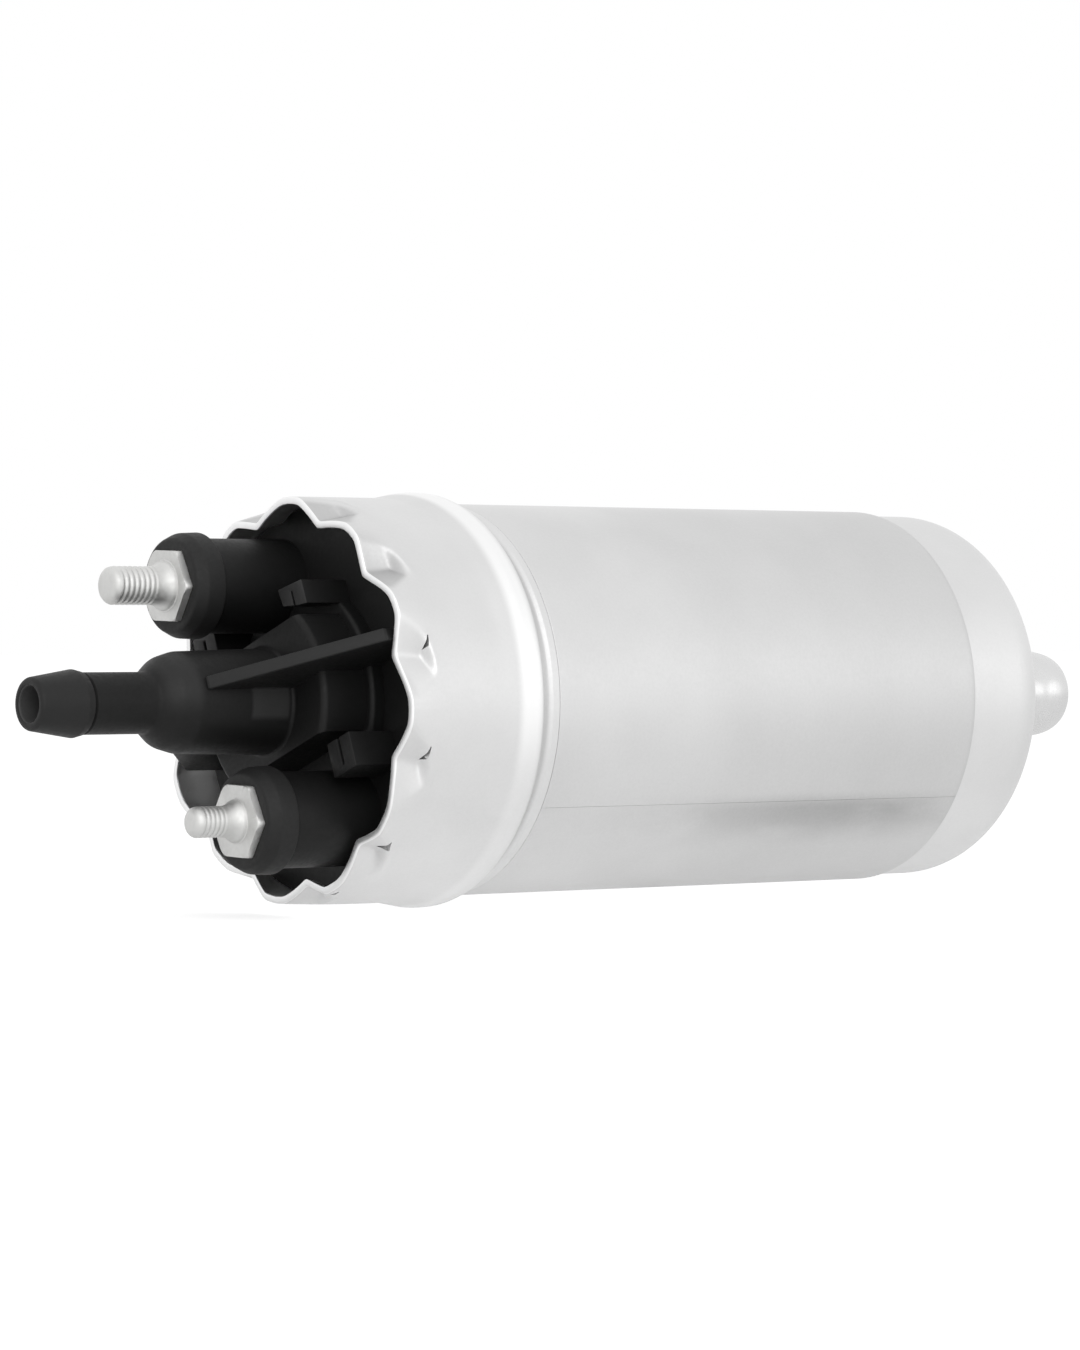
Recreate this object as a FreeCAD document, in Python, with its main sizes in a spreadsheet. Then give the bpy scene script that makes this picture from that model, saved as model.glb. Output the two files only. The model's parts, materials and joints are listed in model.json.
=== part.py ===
import FreeCAD, Part
import math
import os
import re
import Sketcher

# In-line electric fuel pump: a roller-cell pump and its motor in one drawn can.
# Stations run along the X axis from the crimped rim (0) towards the inlet.
# Angles are seen from the outlet end, from the near side (-Y) up towards +Z.
# The finished pieces are shifted so that the middle of the clamp seat is the origin.

os.makedirs("parts", exist_ok=True)
doc = FreeCAD.newDocument("fuel_pump")
Vector = FreeCAD.Vector
AXIS = Vector(1, 0, 0)

# Driving dimensions, in millimetres and degrees
SIZES = [
    # Drawn can with its crimped rim
    ("can_radius", 25.45, "outside of the can under the sleeve"),
    ("can_wall", 1.0, "sheet of the can"),
    ("cap_band", 8.7, "bare can between the sleeve and the inlet shoulder"),
    ("shoulder_radius", 7.5, "drawn corner at the inlet end"),
    ("collar_step", 1.15, "wide mouth for the cover, over the can"),
    ("bead_height", 0.9, "bead behind the mouth, over the mouth"),
    ("bead_station", 20.2, "crest of the bead"),
    ("groove_height", 0.25, "bottom of the rolled groove above the can"),
    ("lip_height", 0.6, "small lip beside the sleeve"),
    ("dent_count", 12, "crimps round the rim"),
    ("dent_length", 3.6, "length of a crimp"),
    ("dent_depth", 2.2, "depth of a crimp at the rim"),
    ("dent_step", 1.9, "depth of a crimp at its back wall"),
    ("dent_half_width", 3.1, "half width of a crimp at its back wall"),
    ("dent_flat", 0.9, "half width of the round land between two crimps"),
    ("dent_angle", 14.0, "angle of the first crimp"),
    # Wrapped sleeve
    ("sleeve_gap", 0.15, "room between the sleeve and the can"),
    ("sleeve_wall", 0.4, "sheet of the wrapped sleeve"),
    ("sleeve_start", 24.5, "edge of the sleeve beside the bead"),
    ("sleeve_length", 73.0, "sleeve, the clamp seat"),
    ("seam_gap", 0.4, "open butt seam of the sleeve"),
    ("seam_angle", -32.0, "place of the seam"),
    # Inlet nipple
    ("nipple_radius", 5.8, "outside of the inlet pipe"),
    ("nipple_bore", 4.0, "bore radius of the inlet pipe"),
    ("nipple_length", 22.2, "inlet pipe outside the can"),
    ("nipple_bead", 6.2, "radius of the swaged hose bead"),
    ("nipple_bead_back", 4.6, "bead crest from the tip"),
    ("nipple_bead_width", 3.0, "width of the hose bead"),
    ("nipple_tip", 1.4, "rounding of the tip"),
    ("nipple_flange", 8.5, "radius of the flange inside the can"),
    ("nipple_flange_wall", 1.2, "thickness of that flange"),
    # Inlet strainer
    ("strainer_wall", 0.4, "gauze of the strainer"),
    ("strainer_length", 11.0, "depth of the gauze cup"),
    ("strainer_gap", 0.15, "room round the gauze cup in the pipe"),
    # Outlet cover
    ("cover_gap", 0.15, "room between the cover and the can"),
    ("cover_floor", 4.0, "thickness of the cover's floor"),
    ("cover_skirt", 2.6, "wall of the cover's skirt"),
    ("seat_station", 19.5, "narrow end of the cone inside the mouth"),
    ("spigot_length", 2.4, "reduced end of the cover"),
    ("boss_inset", 13.3, "middle boss inside the mouth's radius"),
    ("boss_front", 3.9, "boss front ahead of the rim"),
    ("boss_draft", 0.3, "growth of the boss towards its base"),
    ("step_width", 1.3, "second step of the boss"),
    ("step_front", 3.0, "front of the second step behind the rim"),
    ("house_radius", 6.55, "check valve housing at its front"),
    ("house_root", 6.9, "check valve housing at the boss"),
    ("house_front", 18.2, "end of the round shoulder ahead of the rim"),
    ("house_arc", 4.8, "radius of the round shoulder"),
    ("pipe_radius", 3.95, "outlet pipe"),
    ("pipe_root", 23.2, "root of the outlet pipe ahead of the rim"),
    ("pipe_bore", 2.3, "bore radius of the outlet pipe"),
    ("barb_radius", 4.3, "crest of the hose barb"),
    ("barb_back", 31.8, "back of the barb ahead of the rim"),
    ("barb_land", 1.6, "short cylinder on the crest"),
    ("barb_tip_radius", 3.0, "tip of the barb"),
    ("barb_tip", 39.7, "tip of the barb ahead of the rim"),
    ("rib_wall", 1.6, "gusset ribs"),
    ("rib_angle", 21.0, "place of the first rib"),
    ("rib_front", 17.0, "rib at the housing ahead of the rim"),
    ("rib_inset", 2.6, "outer edge of a rib inside the mouth's radius"),
    ("rib_foot_front", 1.0, "outer end of a rib ahead of the rim"),
    ("boss_flat", 8.0, "half width of the boss between its two flats"),
    ("hook_gap", 1.3, "room between a flat and the lugs beside it"),
    ("hook_width", 5.2, "width of a lug"),
    ("hook_short", 3.2, "height of the two shorter lugs"),
    ("hook_long", 5.4, "height of the two longer lugs"),
    ("hook_short_inset", 3.4, "outer side of a shorter lug inside the second step's radius"),
    ("hook_long_inset", 1.4, "outer side of a longer lug inside the second step's radius"),
    ("hook_front", 2.5, "front of a lug ahead of the rim"),
    ("hook_slit", 0.5, "slit in a lug"),
    # Terminals
    ("terminal_inset", 9.57, "terminal inside the mouth's radius"),
    ("terminal_angle", 118.35, "place of the positive terminal"),
    ("tower_radius", 6.2, "tower under a terminal"),
    ("tower_front", 8.8, "front of a tower ahead of the rim"),
    ("tower_bore", 2.6, "hole in a tower for the stud"),
    ("insulator_radius", 6.9, "insulator cap"),
    ("insulator_nose", 6.0, "front of the insulator cap"),
    ("insulator_front", 12.4, "insulator front ahead of the rim"),
    ("insulator_chamfer", 1.2, "length of its chamfer"),
    ("hex_across", 9.0, "hexagon across flats"),
    ("hex_front", 13.55, "hexagon front ahead of the rim"),
    ("hex_thick", 3.0, "thickness of the hexagon"),
    ("stud_collar", 3.2, "round collar on the hexagon"),
    ("stud_collar_length", 1.4, "length of that collar"),
    ("stud_large", 2.5, "positive stud, M5"),
    ("stud_large_tip", 22.9, "its tip ahead of the rim"),
    ("stud_small", 2.0, "negative stud, M4"),
    ("stud_small_tip", 20.9, "its tip ahead of the rim"),
    ("stud_chamfer", 0.7, "chamfer of a stud's tip"),
    ("stud_shank", 1.9, "plain shank inside the tower"),
    ("fit_gap", 0.05, "room of a fixed fit"),
    # Check valve in the outlet housing
    ("valve_bore", 4.7, "bore of the valve chamber"),
    ("valve_bore_front", 15.0, "front end of the chamber ahead of the rim"),
    ("valve_seat_station", -1.0, "face of the valve seat"),
    ("valve_seat_wall", 2.5, "thickness of the valve seat"),
    ("valve_seat_bore", 2.2, "opening of the valve seat"),
    ("poppet_radius", 3.4, "head of the poppet"),
    ("poppet_head", 2.2, "length of the head"),
    ("poppet_stem", 1.1, "stem of the poppet"),
    ("poppet_stem_length", 5.0, "length of the stem"),
    # Roller-cell pump
    ("plate_gap", 0.1, "room between the plates and the can"),
    ("inlet_plate_wall", 6.0, "inlet plate"),
    ("plate_boss_height", 7.7, "ring between the inlet plate and the can's end"),
    ("plate_boss_wall", 2.0, "wall of that ring"),
    ("rotor_thick", 9.0, "cam ring thickness"),
    ("running_gap", 0.05, "running clearance"),
    ("cam_wall", 8.85, "plates outside the bore of the cam ring"),
    ("cam_offset", 1.5, "eccentricity of the cam ring"),
    ("middle_plate_wall", 6.0, "plate between pump and motor"),
    ("roller_share", 0.21583, "roller as a share of the rotor"),
    ("roller_count", 5, "rollers"),
    ("screw_inset", 3.55, "plate screws inside the plates' edge"),
    ("screw_radius", 2.0, "plate screw"),
    ("screw_head", 3.3, "head of a plate screw"),
    ("screw_head_thick", 2.4, "thickness of that head"),
    ("dowel_radius", 1.5, "dowel pin"),
    ("port_radius", 2.2, "half width of a port"),
    ("port_inset", 5.0, "middle of a port inside the cam ring's bore"),
    # Relief valve in the plate stack
    ("relief_inset", 4.75, "relief valve inside the plates' edge"),
    ("relief_bore", 2.6, "bore of the relief valve"),
    ("relief_hole", 1.4, "hole closed by the ball"),
    ("relief_hole_length", 4.0, "length of that hole"),
    ("relief_ball", 2.0, "ball"),
    ("relief_plug", 2.5, "length of the spring plug"),
    # Motor
    ("shaft_radius", 2.5, "armature shaft"),
    ("bush_wall", 1.6, "wall of a bush"),
    ("carrier_wall", 3.0, "brush carrier"),
    ("carrier_hub", 3.2, "length of the carrier's hub"),
    ("carrier_hub_radius", 6.5, "radius of the carrier's hub"),
    ("flux_wall", 2.2, "wall of the flux ring"),
    ("magnet_wall", 4.8, "thickness of a magnet"),
    ("magnet_angle", 144.0, "arc of a magnet"),
    ("magnet_overlap", 4.0, "magnet beyond each end of the core"),
    ("clip_wall", 0.6, "sheet of a magnet clip"),
    ("clip_ear", 2.6, "ear of a magnet clip"),
    ("air_gap", 0.6, "gap between magnet and armature"),
    ("rear_room", 10.0, "room behind the laminated core"),
    ("stack_front", 19.0, "core from the carrier"),
    ("slot_count", 8, "slots of the core"),
    ("slot_radius", 2.7, "round bottom of a slot"),
    ("slot_inset", 4.55, "middle of a slot inside the core's edge"),
    ("slot_mouth", 1.6, "opening of a slot"),
    ("winding_overhang", 6.5, "end turns beyond the core"),
    ("winding_inset", 1.55, "end turns inside the core's edge"),
    ("commutator_radius", 9.5, "commutator"),
    ("commutator_length", 9.5, "commutator bars"),
    ("commutator_gap", 1.2, "commutator from the carrier"),
    ("riser_height", 1.0, "hooks of the commutator"),
    ("riser_length", 1.6, "length of the hooks"),
    ("bar_slit", 0.6, "slit between two bars"),
    ("washer_thick", 0.5, "thrust washer"),
    ("washer_radius", 4.6, "thrust washer"),
    ("coupling_radius", 5.6, "drive coupling"),
    ("coupling_thick", 2.0, "drive coupling"),
    ("coupling_lug", 3.0, "width of its lugs"),
    ("coupling_web", 0.85, "rotor between a lug and a roller"),
    # Brushes
    ("brush_thick", 5.0, "brush along the shaft"),
    ("brush_width", 6.0, "brush across the shaft"),
    ("spring_room", 4.5, "room for the spring behind a new brush"),
    ("brush_gap", 0.05, "room of a brush in its tube"),
    ("brush_air", 0.05, "brush to commutator"),
    ("tube_wall", 0.5, "sheet of a brush tube"),
    ("tube_inset", 0.9, "inner end of a brush tube over the commutator"),
    ("choke_radius", 2.4, "choke"),
    ("choke_length", 8.0, "choke"),
    # Springs and seals
    ("wire_radius", 0.3, "spring wire"),
    ("ring_section", 1.1, "section radius of the cover seal"),
    ("plate_ring_section", 0.8, "section radius of the plate seal"),
    ("ring_station", 14.0, "middle of the cover seal"),
]

# Places and fits that follow from the driving dimensions
DERIVED = {
    "origin_station": "sleeve_start + sleeve_length / 2",
    "sleeve_end": "sleeve_start + sleeve_length",
    "collar_radius": "can_radius + collar_step",
    "bead_radius": "collar_radius + bead_height",
    "boss_radius": "collar_radius - boss_inset",
    "step_radius": "boss_radius + boss_draft + step_width",
    "rib_foot": "collar_radius - rib_inset",
    "hook_near": "boss_flat + hook_gap",
    "terminal_circle": "collar_radius - terminal_inset",
    "sleeve_bore": "can_radius + sleeve_gap",
    "sleeve_radius": "sleeve_bore + sleeve_wall",
    "shoulder_station": "sleeve_end + cap_band",
    "can_end": "shoulder_station + shoulder_radius",
    "can_floor": "can_end - can_wall",
    "can_bore": "can_radius - can_wall",
    "collar_bore": "collar_radius - can_wall",
    "nipple_end": "can_end + nipple_length",
    "nipple_crest": "nipple_end - nipple_bead_back",
    "flange_front": "dent_length + can_wall",
    "cover_back": "seat_station + fit_gap * 10",
    "cover_radius": "collar_bore - cover_gap",
    "spigot_radius": "can_bore - cover_gap",
    "floor_back": "flange_front + cover_floor",
    "skirt_bore": "spigot_radius - cover_skirt",
    "hex_back": "hex_front - hex_thick",
    "ring_groove": "collar_bore - 2 * ring_section - fit_gap",
    "carrier_back": "cover_back + carrier_wall",
    "flux_bore": "can_bore - plate_gap - flux_wall",
    "plate_back": "can_floor - plate_boss_height",
    "cam_back": "plate_back - inlet_plate_wall",
    "cam_front": "cam_back - rotor_thick",
    "flux_back": "cam_front - middle_plate_wall",
    "plate_radius": "can_bore - plate_gap",
    "cam_bore": "plate_radius - cam_wall",
    "screw_circle": "plate_radius - screw_inset",
    "relief_circle": "plate_radius - relief_inset",
    "port_circle": "cam_bore - port_inset",
    "rotor_radius": "cam_bore - cam_offset - 2 * running_gap",
    "roller_radius": "rotor_radius * roller_share",
    "roller_circle": "rotor_radius - roller_radius - running_gap",
    "coupling_reach": "roller_circle - roller_radius - coupling_web",
    "bush_radius": "shaft_radius + bush_wall",
    "bush_bore": "shaft_radius + running_gap",
    "magnet_outer": "flux_bore - fit_gap",
    "magnet_inner": "flux_bore - magnet_wall",
    "core_radius": "magnet_inner - air_gap",
    "core_front": "carrier_back + stack_front",
    "core_back": "flux_back - rear_room",
    "slot_circle": "core_radius - slot_inset",
    "winding_radius": "core_radius - winding_inset",
    "magnet_front": "core_front - magnet_overlap",
    "magnet_back": "core_back + magnet_overlap",
    "commutator_front": "carrier_back + commutator_gap",
    "commutator_back": "commutator_front + commutator_length",
    "brush_station": "carrier_back + 0.3 + tube_wall + brush_gap + brush_thick / 2",
    "brush_face": "commutator_radius + brush_air",
    "tube_start": "commutator_radius + tube_inset",
    "tube_end": "flux_bore - 0.6",
    "brush_back": "tube_end - tube_wall - spring_room",
    "ball_station": "cam_front - middle_plate_wall + relief_hole_length"
                    " + sqrt(relief_ball ^ 2 - relief_hole ^ 2) + 0.02",
    "plug_front": "plate_back - relief_plug",
    "plate_boss_radius": "screw_circle - screw_head - 6 * fit_gap",
    "poppet_front": "valve_seat_station - poppet_head - 0.02",
    "screw_angle": "90 + 60",
}
NAMES = {name for name, value, note in SIZES}

sheet = doc.addObject("Spreadsheet::Sheet", "Sizes")
for row, (name, value, note) in enumerate(SIZES, start=1):
    sheet.set("A%d" % row, note)
    sheet.set("B%d" % row, str(value))
    sheet.setAlias("B%d" % row, name)
doc.recompute()


def bound(text):
    """Expression text with each size name pointed at its cell."""
    def swap(match):
        word = match.group(0)
        if word in DERIVED:
            return "(" + bound(DERIVED[word]) + ")"
        return "Sizes." + word if word in NAMES else word
    return re.sub(r"[a-z_]+", swap, str(text))


def number(text):
    """Value of an expression, in millimetres or degrees."""
    return float(sheet.evalExpression(bound(text)))


def around(radius, angle):
    """Expressions for Y and Z of a place on a circle round the pump's axis."""
    return "-(%s) * cos(%s)" % (radius, angle), "(%s) * sin(%s)" % (radius, angle)


# Sketch helpers

def origin_part(body, role):
    return [part for part in body.Origin.OriginFeatures if part.Role == role][0]


def new_sketch(body, name, plane, station=None):
    """Sketch on one of the body's own planes, moved along the plane's normal."""
    sketch = body.newObject("Sketcher::SketchObject", name)
    sketch.AttachmentSupport = (origin_part(body, plane), "")
    sketch.MapMode = "FlatFace"
    if station is not None:
        sketch.AttachmentOffset = FreeCAD.Placement(Vector(0, 0, number(station)), FreeCAD.Rotation())
        sketch.setExpression("AttachmentOffset.Base.z", bound(station))
    return sketch


def measure(sketch, kind, geometry, place, text):
    """Distance of a point from the sketch's origin, bound to the sheet."""
    index = sketch.addConstraint(Sketcher.Constraint(kind, -1, 1, geometry, place, number(text)))
    sketch.setExpression("Constraints[%d]" % index, bound(text))


def arc_between(start, end, radius):
    """Arc from start to end: a positive radius bulges away from the axis, a negative one towards it."""
    middle = (start + end) / 2
    chord = end - start
    reach = math.sqrt(max(radius * radius - chord.Length ** 2 / 4, 0.0))
    normal = Vector(-chord.y, chord.x, 0) / chord.Length
    if (normal.y > 0) == (radius > 0):
        normal = -normal
    centre = middle + normal * reach
    turn = (start - centre).cross(end - centre).z
    first, last = (start, end) if turn > 0 else (end, start)
    angles = [math.atan2(point.y - centre.y, point.x - centre.x) for point in (first, last)]
    if angles[1] < angles[0]:
        angles[1] += 2 * math.pi
    circle = Part.Circle(centre, Vector(0, 0, 1), abs(radius))
    return Part.ArcOfCircle(circle, angles[0], angles[1]), turn > 0


def draw(sketch, points):
    """Closed outline. A third value in a point is the radius of the arc that arrives there."""
    places = [Vector(number(point[0]), number(point[1]), 0) for point in points]
    first = sketch.GeometryCount
    ends = []
    for index, place in enumerate(places):
        following = (index + 1) % len(points)
        target = places[following]
        forward = True
        if len(points[following]) > 2:
            arc, forward = arc_between(place, target, number(points[following][2]))
            edge = sketch.addGeometry(arc)
            radius_text = "abs(%s)" % points[following][2]
            size = sketch.addConstraint(Sketcher.Constraint("Radius", edge, number(radius_text)))
            sketch.setExpression("Constraints[%d]" % size, bound(radius_text))
        else:
            edge = sketch.addGeometry(Part.LineSegment(place, target))
        ends.append((edge, 1 if forward else 2, 2 if forward else 1))
    for index, (edge, start, end) in enumerate(ends):
        following = ends[(index + 1) % len(ends)]
        sketch.addConstraint(Sketcher.Constraint("Coincident", edge, end, following[0], following[1]))
        measure(sketch, "DistanceX", edge, start, points[index][0])
        measure(sketch, "DistanceY", edge, start, points[index][1])
    return first


def draw_circle(sketch, across, up, radius):
    centre = Vector(number(across), number(up), 0)
    edge = sketch.addGeometry(Part.Circle(centre, Vector(0, 0, 1), number(radius)))
    size = sketch.addConstraint(Sketcher.Constraint("Radius", edge, number(radius)))
    sketch.setExpression("Constraints[%d]" % size, bound(radius))
    measure(sketch, "DistanceX", edge, 3, across)
    measure(sketch, "DistanceY", edge, 3, up)


# Body helpers

def new_body(label):
    body = doc.addObject("PartDesign::Body", label)
    body.Label = label
    return body


def turned(label, points):
    """Piece turned about the pump's axis from (station, radius) points."""
    body = new_body(label)
    sketch = new_sketch(body, label + "_profile", "XZ_Plane")
    draw(sketch, points)
    turn = body.newObject("PartDesign::Revolution", label + "_turn")
    turn.Profile = sketch
    turn.ReferenceAxis = (sketch, ["H_Axis"])
    turn.Angle = 360
    sketch.Visibility = False
    return body


def extrude(body, name, kind, start, end, shapes):
    """Pad or pocket between two stations. Each shape draws into the sketch."""
    sketch = new_sketch(body, name + "_sketch", "YZ_Plane", start)
    for shape in shapes:
        shape(sketch)
    feature = body.newObject("PartDesign::" + kind, name)
    feature.Profile = sketch
    feature.Reversed = kind == "Pocket"
    feature.setExpression("Length", bound("(%s) - (%s)" % (end, start)))
    return feature


def hole_shape(radius, circle, angle):
    across, up = around(circle, angle)
    return lambda sketch: draw_circle(sketch, across, up, radius)


def outline_shape(points):
    return lambda sketch: draw(sketch, points)


def repeat(body, features, count, name):
    """Polar pattern of features about the pump's axis."""
    pattern = body.newObject("PartDesign::PolarPattern", name)
    pattern.Originals = features
    pattern.Axis = (origin_part(body, "X_Axis"), [""])
    pattern.Angle = 360
    pattern.setExpression("Occurrences", bound(count))
    body.Tip = pattern
    return pattern


def loft(body, name, kind, sections):
    """Additive or subtractive loft through (station, outline) sections."""
    sketches = []
    for index, (station, points) in enumerate(sections):
        sketch = new_sketch(body, "%s_%d" % (name, index), "YZ_Plane", station)
        draw(sketch, points)
        sketches.append(sketch)
    feature = body.newObject("PartDesign::" + kind, name)
    feature.Profile = sketches[0]
    feature.Sections = sketches[1:]
    feature.Ruled = True
    return feature


PIECES = []


def keep(piece, angle=0.0):
    """Shift a piece to the library frame and list it. The angle turns it about the pump's axis."""
    shift = Vector(-number("origin_station"), 0, 0)
    piece.Placement = FreeCAD.Placement(shift, FreeCAD.Rotation(AXIS, angle))
    PIECES.append(piece)
    return piece


def cylinder(label, radius, start, end):
    """Cylinder on the pump's axis between two stations."""
    rod = doc.addObject("Part::Cylinder", label)
    rod.setExpression("Radius", bound(radius))
    rod.setExpression("Height", bound("(%s) - (%s)" % (end, start)))
    rod.Placement = FreeCAD.Placement(Vector(0, 0, 0), FreeCAD.Rotation(Vector(0, 1, 0), 90))
    rod.setExpression("Placement.Base.x", bound(start))
    return rod


def cylinder_at(label, radius, start, end, across, up):
    rod = cylinder(label, radius, start, end)
    rod.setExpression("Placement.Base.y", bound(across))
    rod.setExpression("Placement.Base.z", bound(up))
    return rod


def block(label, starts, ends):
    """Box between two corners given as expressions."""
    box = doc.addObject("Part::Box", label)
    for axis, edge, start, end in zip("xyz", ("Length", "Width", "Height"), starts, ends):
        box.setExpression(edge, bound("(%s) - (%s)" % (end, start)))
        box.setExpression("Placement.Base." + axis, bound(start))
    return box


def group(label, members):
    """Several equal solids kept as one piece."""
    piece = doc.addObject("Part::Compound", label)
    piece.Label = label
    piece.Links = members
    return piece


def cut(label, base, tool):
    piece = doc.addObject("Part::Cut", label)
    piece.Label = label
    piece.Base = base
    piece.Tool = tool
    return piece


def fuse(label, members):
    piece = doc.addObject("Part::MultiFuse", label)
    piece.Label = label
    piece.Shapes = members
    return piece


# Drawn can, its crimped rim, and the wrapped sleeve

def wedge(body, name, kind, wall, start, end):
    """Row of V-shaped wedges that narrow from the rim to the back wall of each crimp."""
    land = "collar_radius * sin(180 / dent_count - dent_flat / collar_radius * 180 / pi)"
    flank = "collar_radius * cos(180 / dent_count - dent_flat / collar_radius * 180 / pi)"
    inner = kind == "AdditiveLoft"
    sections = []
    for station, depth, half, side in ((start, "dent_depth", land, flank),
                                       (end, "dent_step", "dent_half_width", None)):
        if side is None:
            side = "sqrt(collar_radius ^ 2 - dent_half_width ^ 2)"
        root = "collar_radius - %s - %s" % (depth, wall)
        if inner:
            grown = "(%s) + can_wall * %s" % (half, "0" if depth == "dent_depth" else "1")
            points = [("0", root), (grown, "(%s) - can_wall / 2" % side),
                      ("0", "collar_radius - can_wall / 4"),
                      ("-(%s)" % grown, "(%s) - can_wall / 2" % side)]
        else:
            spread = "(%s) * 1.2" % half
            height = "(%s) + ((%s) - (%s)) * 0.2" % (side, side, root)
            points = [("0", root), (spread, height), ("0", "collar_radius + dent_depth"),
                      ("-(%s)" % spread, height)]
        sections.append((station, points))
    return loft(body, name, kind, sections)


def pump_can():
    groove = "can_radius + groove_height"
    lip = "can_radius + lip_height"
    body = turned("pump_can", [
        ("0", "collar_bore"),
        ("0", "collar_radius"),
        ("bead_station - 6", "collar_radius"),
        ("bead_station - 1.2", "bead_radius - 0.12"),
        ("bead_station + 1", "bead_radius - 0.25", "2.2"),
        ("bead_station + 2", groove),
        ("bead_station + 2.6", groove),
        ("bead_station + 2.9", lip),
        ("sleeve_start - 0.5", lip),
        ("sleeve_start - 0.2", "can_radius"),
        ("shoulder_station", "can_radius"),
        ("can_end", "can_radius - shoulder_radius", "shoulder_radius"),
        ("can_end", "nipple_radius + fit_gap"),
        ("can_floor", "nipple_radius + fit_gap"),
        ("can_floor", "can_radius - shoulder_radius"),
        ("shoulder_station", "can_bore", "shoulder_radius - can_wall"),
        ("seat_station", "can_bore"),
        ("seat_station - can_wall", "collar_bore"),
    ])
    fill = wedge(body, "crimp_fill", "AdditiveLoft", "can_wall", "0", "dent_length + can_wall")
    repeat(body, [fill], "dent_count", "crimp_fills")
    dent = wedge(body, "crimp_dent", "SubtractiveLoft", "0", "-0.001", "dent_length")
    repeat(body, [dent], "dent_count", "crimp_dents")
    return keep(body, 90 - number("dent_angle"))


def outer_sleeve():
    body = turned("outer_sleeve", [
        ("sleeve_start", "sleeve_bore"),
        ("sleeve_start", "sleeve_radius"),
        ("sleeve_end", "sleeve_radius"),
        ("sleeve_end", "sleeve_bore"),
    ])
    extrude(body, "seam", "Pocket", "sleeve_start", "sleeve_end", [outline_shape([
        ("-seam_gap / 2", "0"), ("seam_gap / 2", "0"),
        ("seam_gap / 2", "sleeve_radius + 1"), ("-seam_gap / 2", "sleeve_radius + 1")])])
    return keep(body, 90 - number("seam_angle"))


def inlet_nipple():
    half = "nipple_bead_width / 2"
    body = turned("inlet_nipple", [
        ("can_floor - nipple_flange_wall", "nipple_bore"),
        ("can_floor - nipple_flange_wall", "nipple_flange"),
        ("can_floor", "nipple_flange"),
        ("can_floor", "nipple_radius"),
        ("nipple_crest - " + half, "nipple_radius"),
        ("nipple_crest + " + half, "nipple_radius",
         "(nipple_bead_width ^ 2 / 4 + (nipple_bead - nipple_radius) ^ 2)"
         " / (2 * (nipple_bead - nipple_radius))"),
        ("nipple_end - nipple_tip", "nipple_radius"),
        ("nipple_end", "nipple_radius - nipple_tip", "nipple_tip"),
        ("nipple_end", "nipple_bore"),
    ])
    return keep(body)


def inlet_strainer():
    mouth = "can_floor - nipple_flange_wall"
    radius = "nipple_bore - strainer_gap"
    body = turned("inlet_strainer", [
        (mouth + " - strainer_wall", radius + " - strainer_wall"),
        (mouth + " - strainer_wall", "nipple_bore + 1.2"),
        (mouth, "nipple_bore + 1.2"),
        (mouth, radius),
        (mouth + " + strainer_length", radius),
        (mouth + " + strainer_length", "0"),
        (mouth + " + strainer_length - strainer_wall", "0"),
        (mouth + " + strainer_length - strainer_wall", radius + " - strainer_wall"),
    ])
    return keep(body)


# Outlet cover with its barb, boss, ribs, lugs and terminal towers

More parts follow.
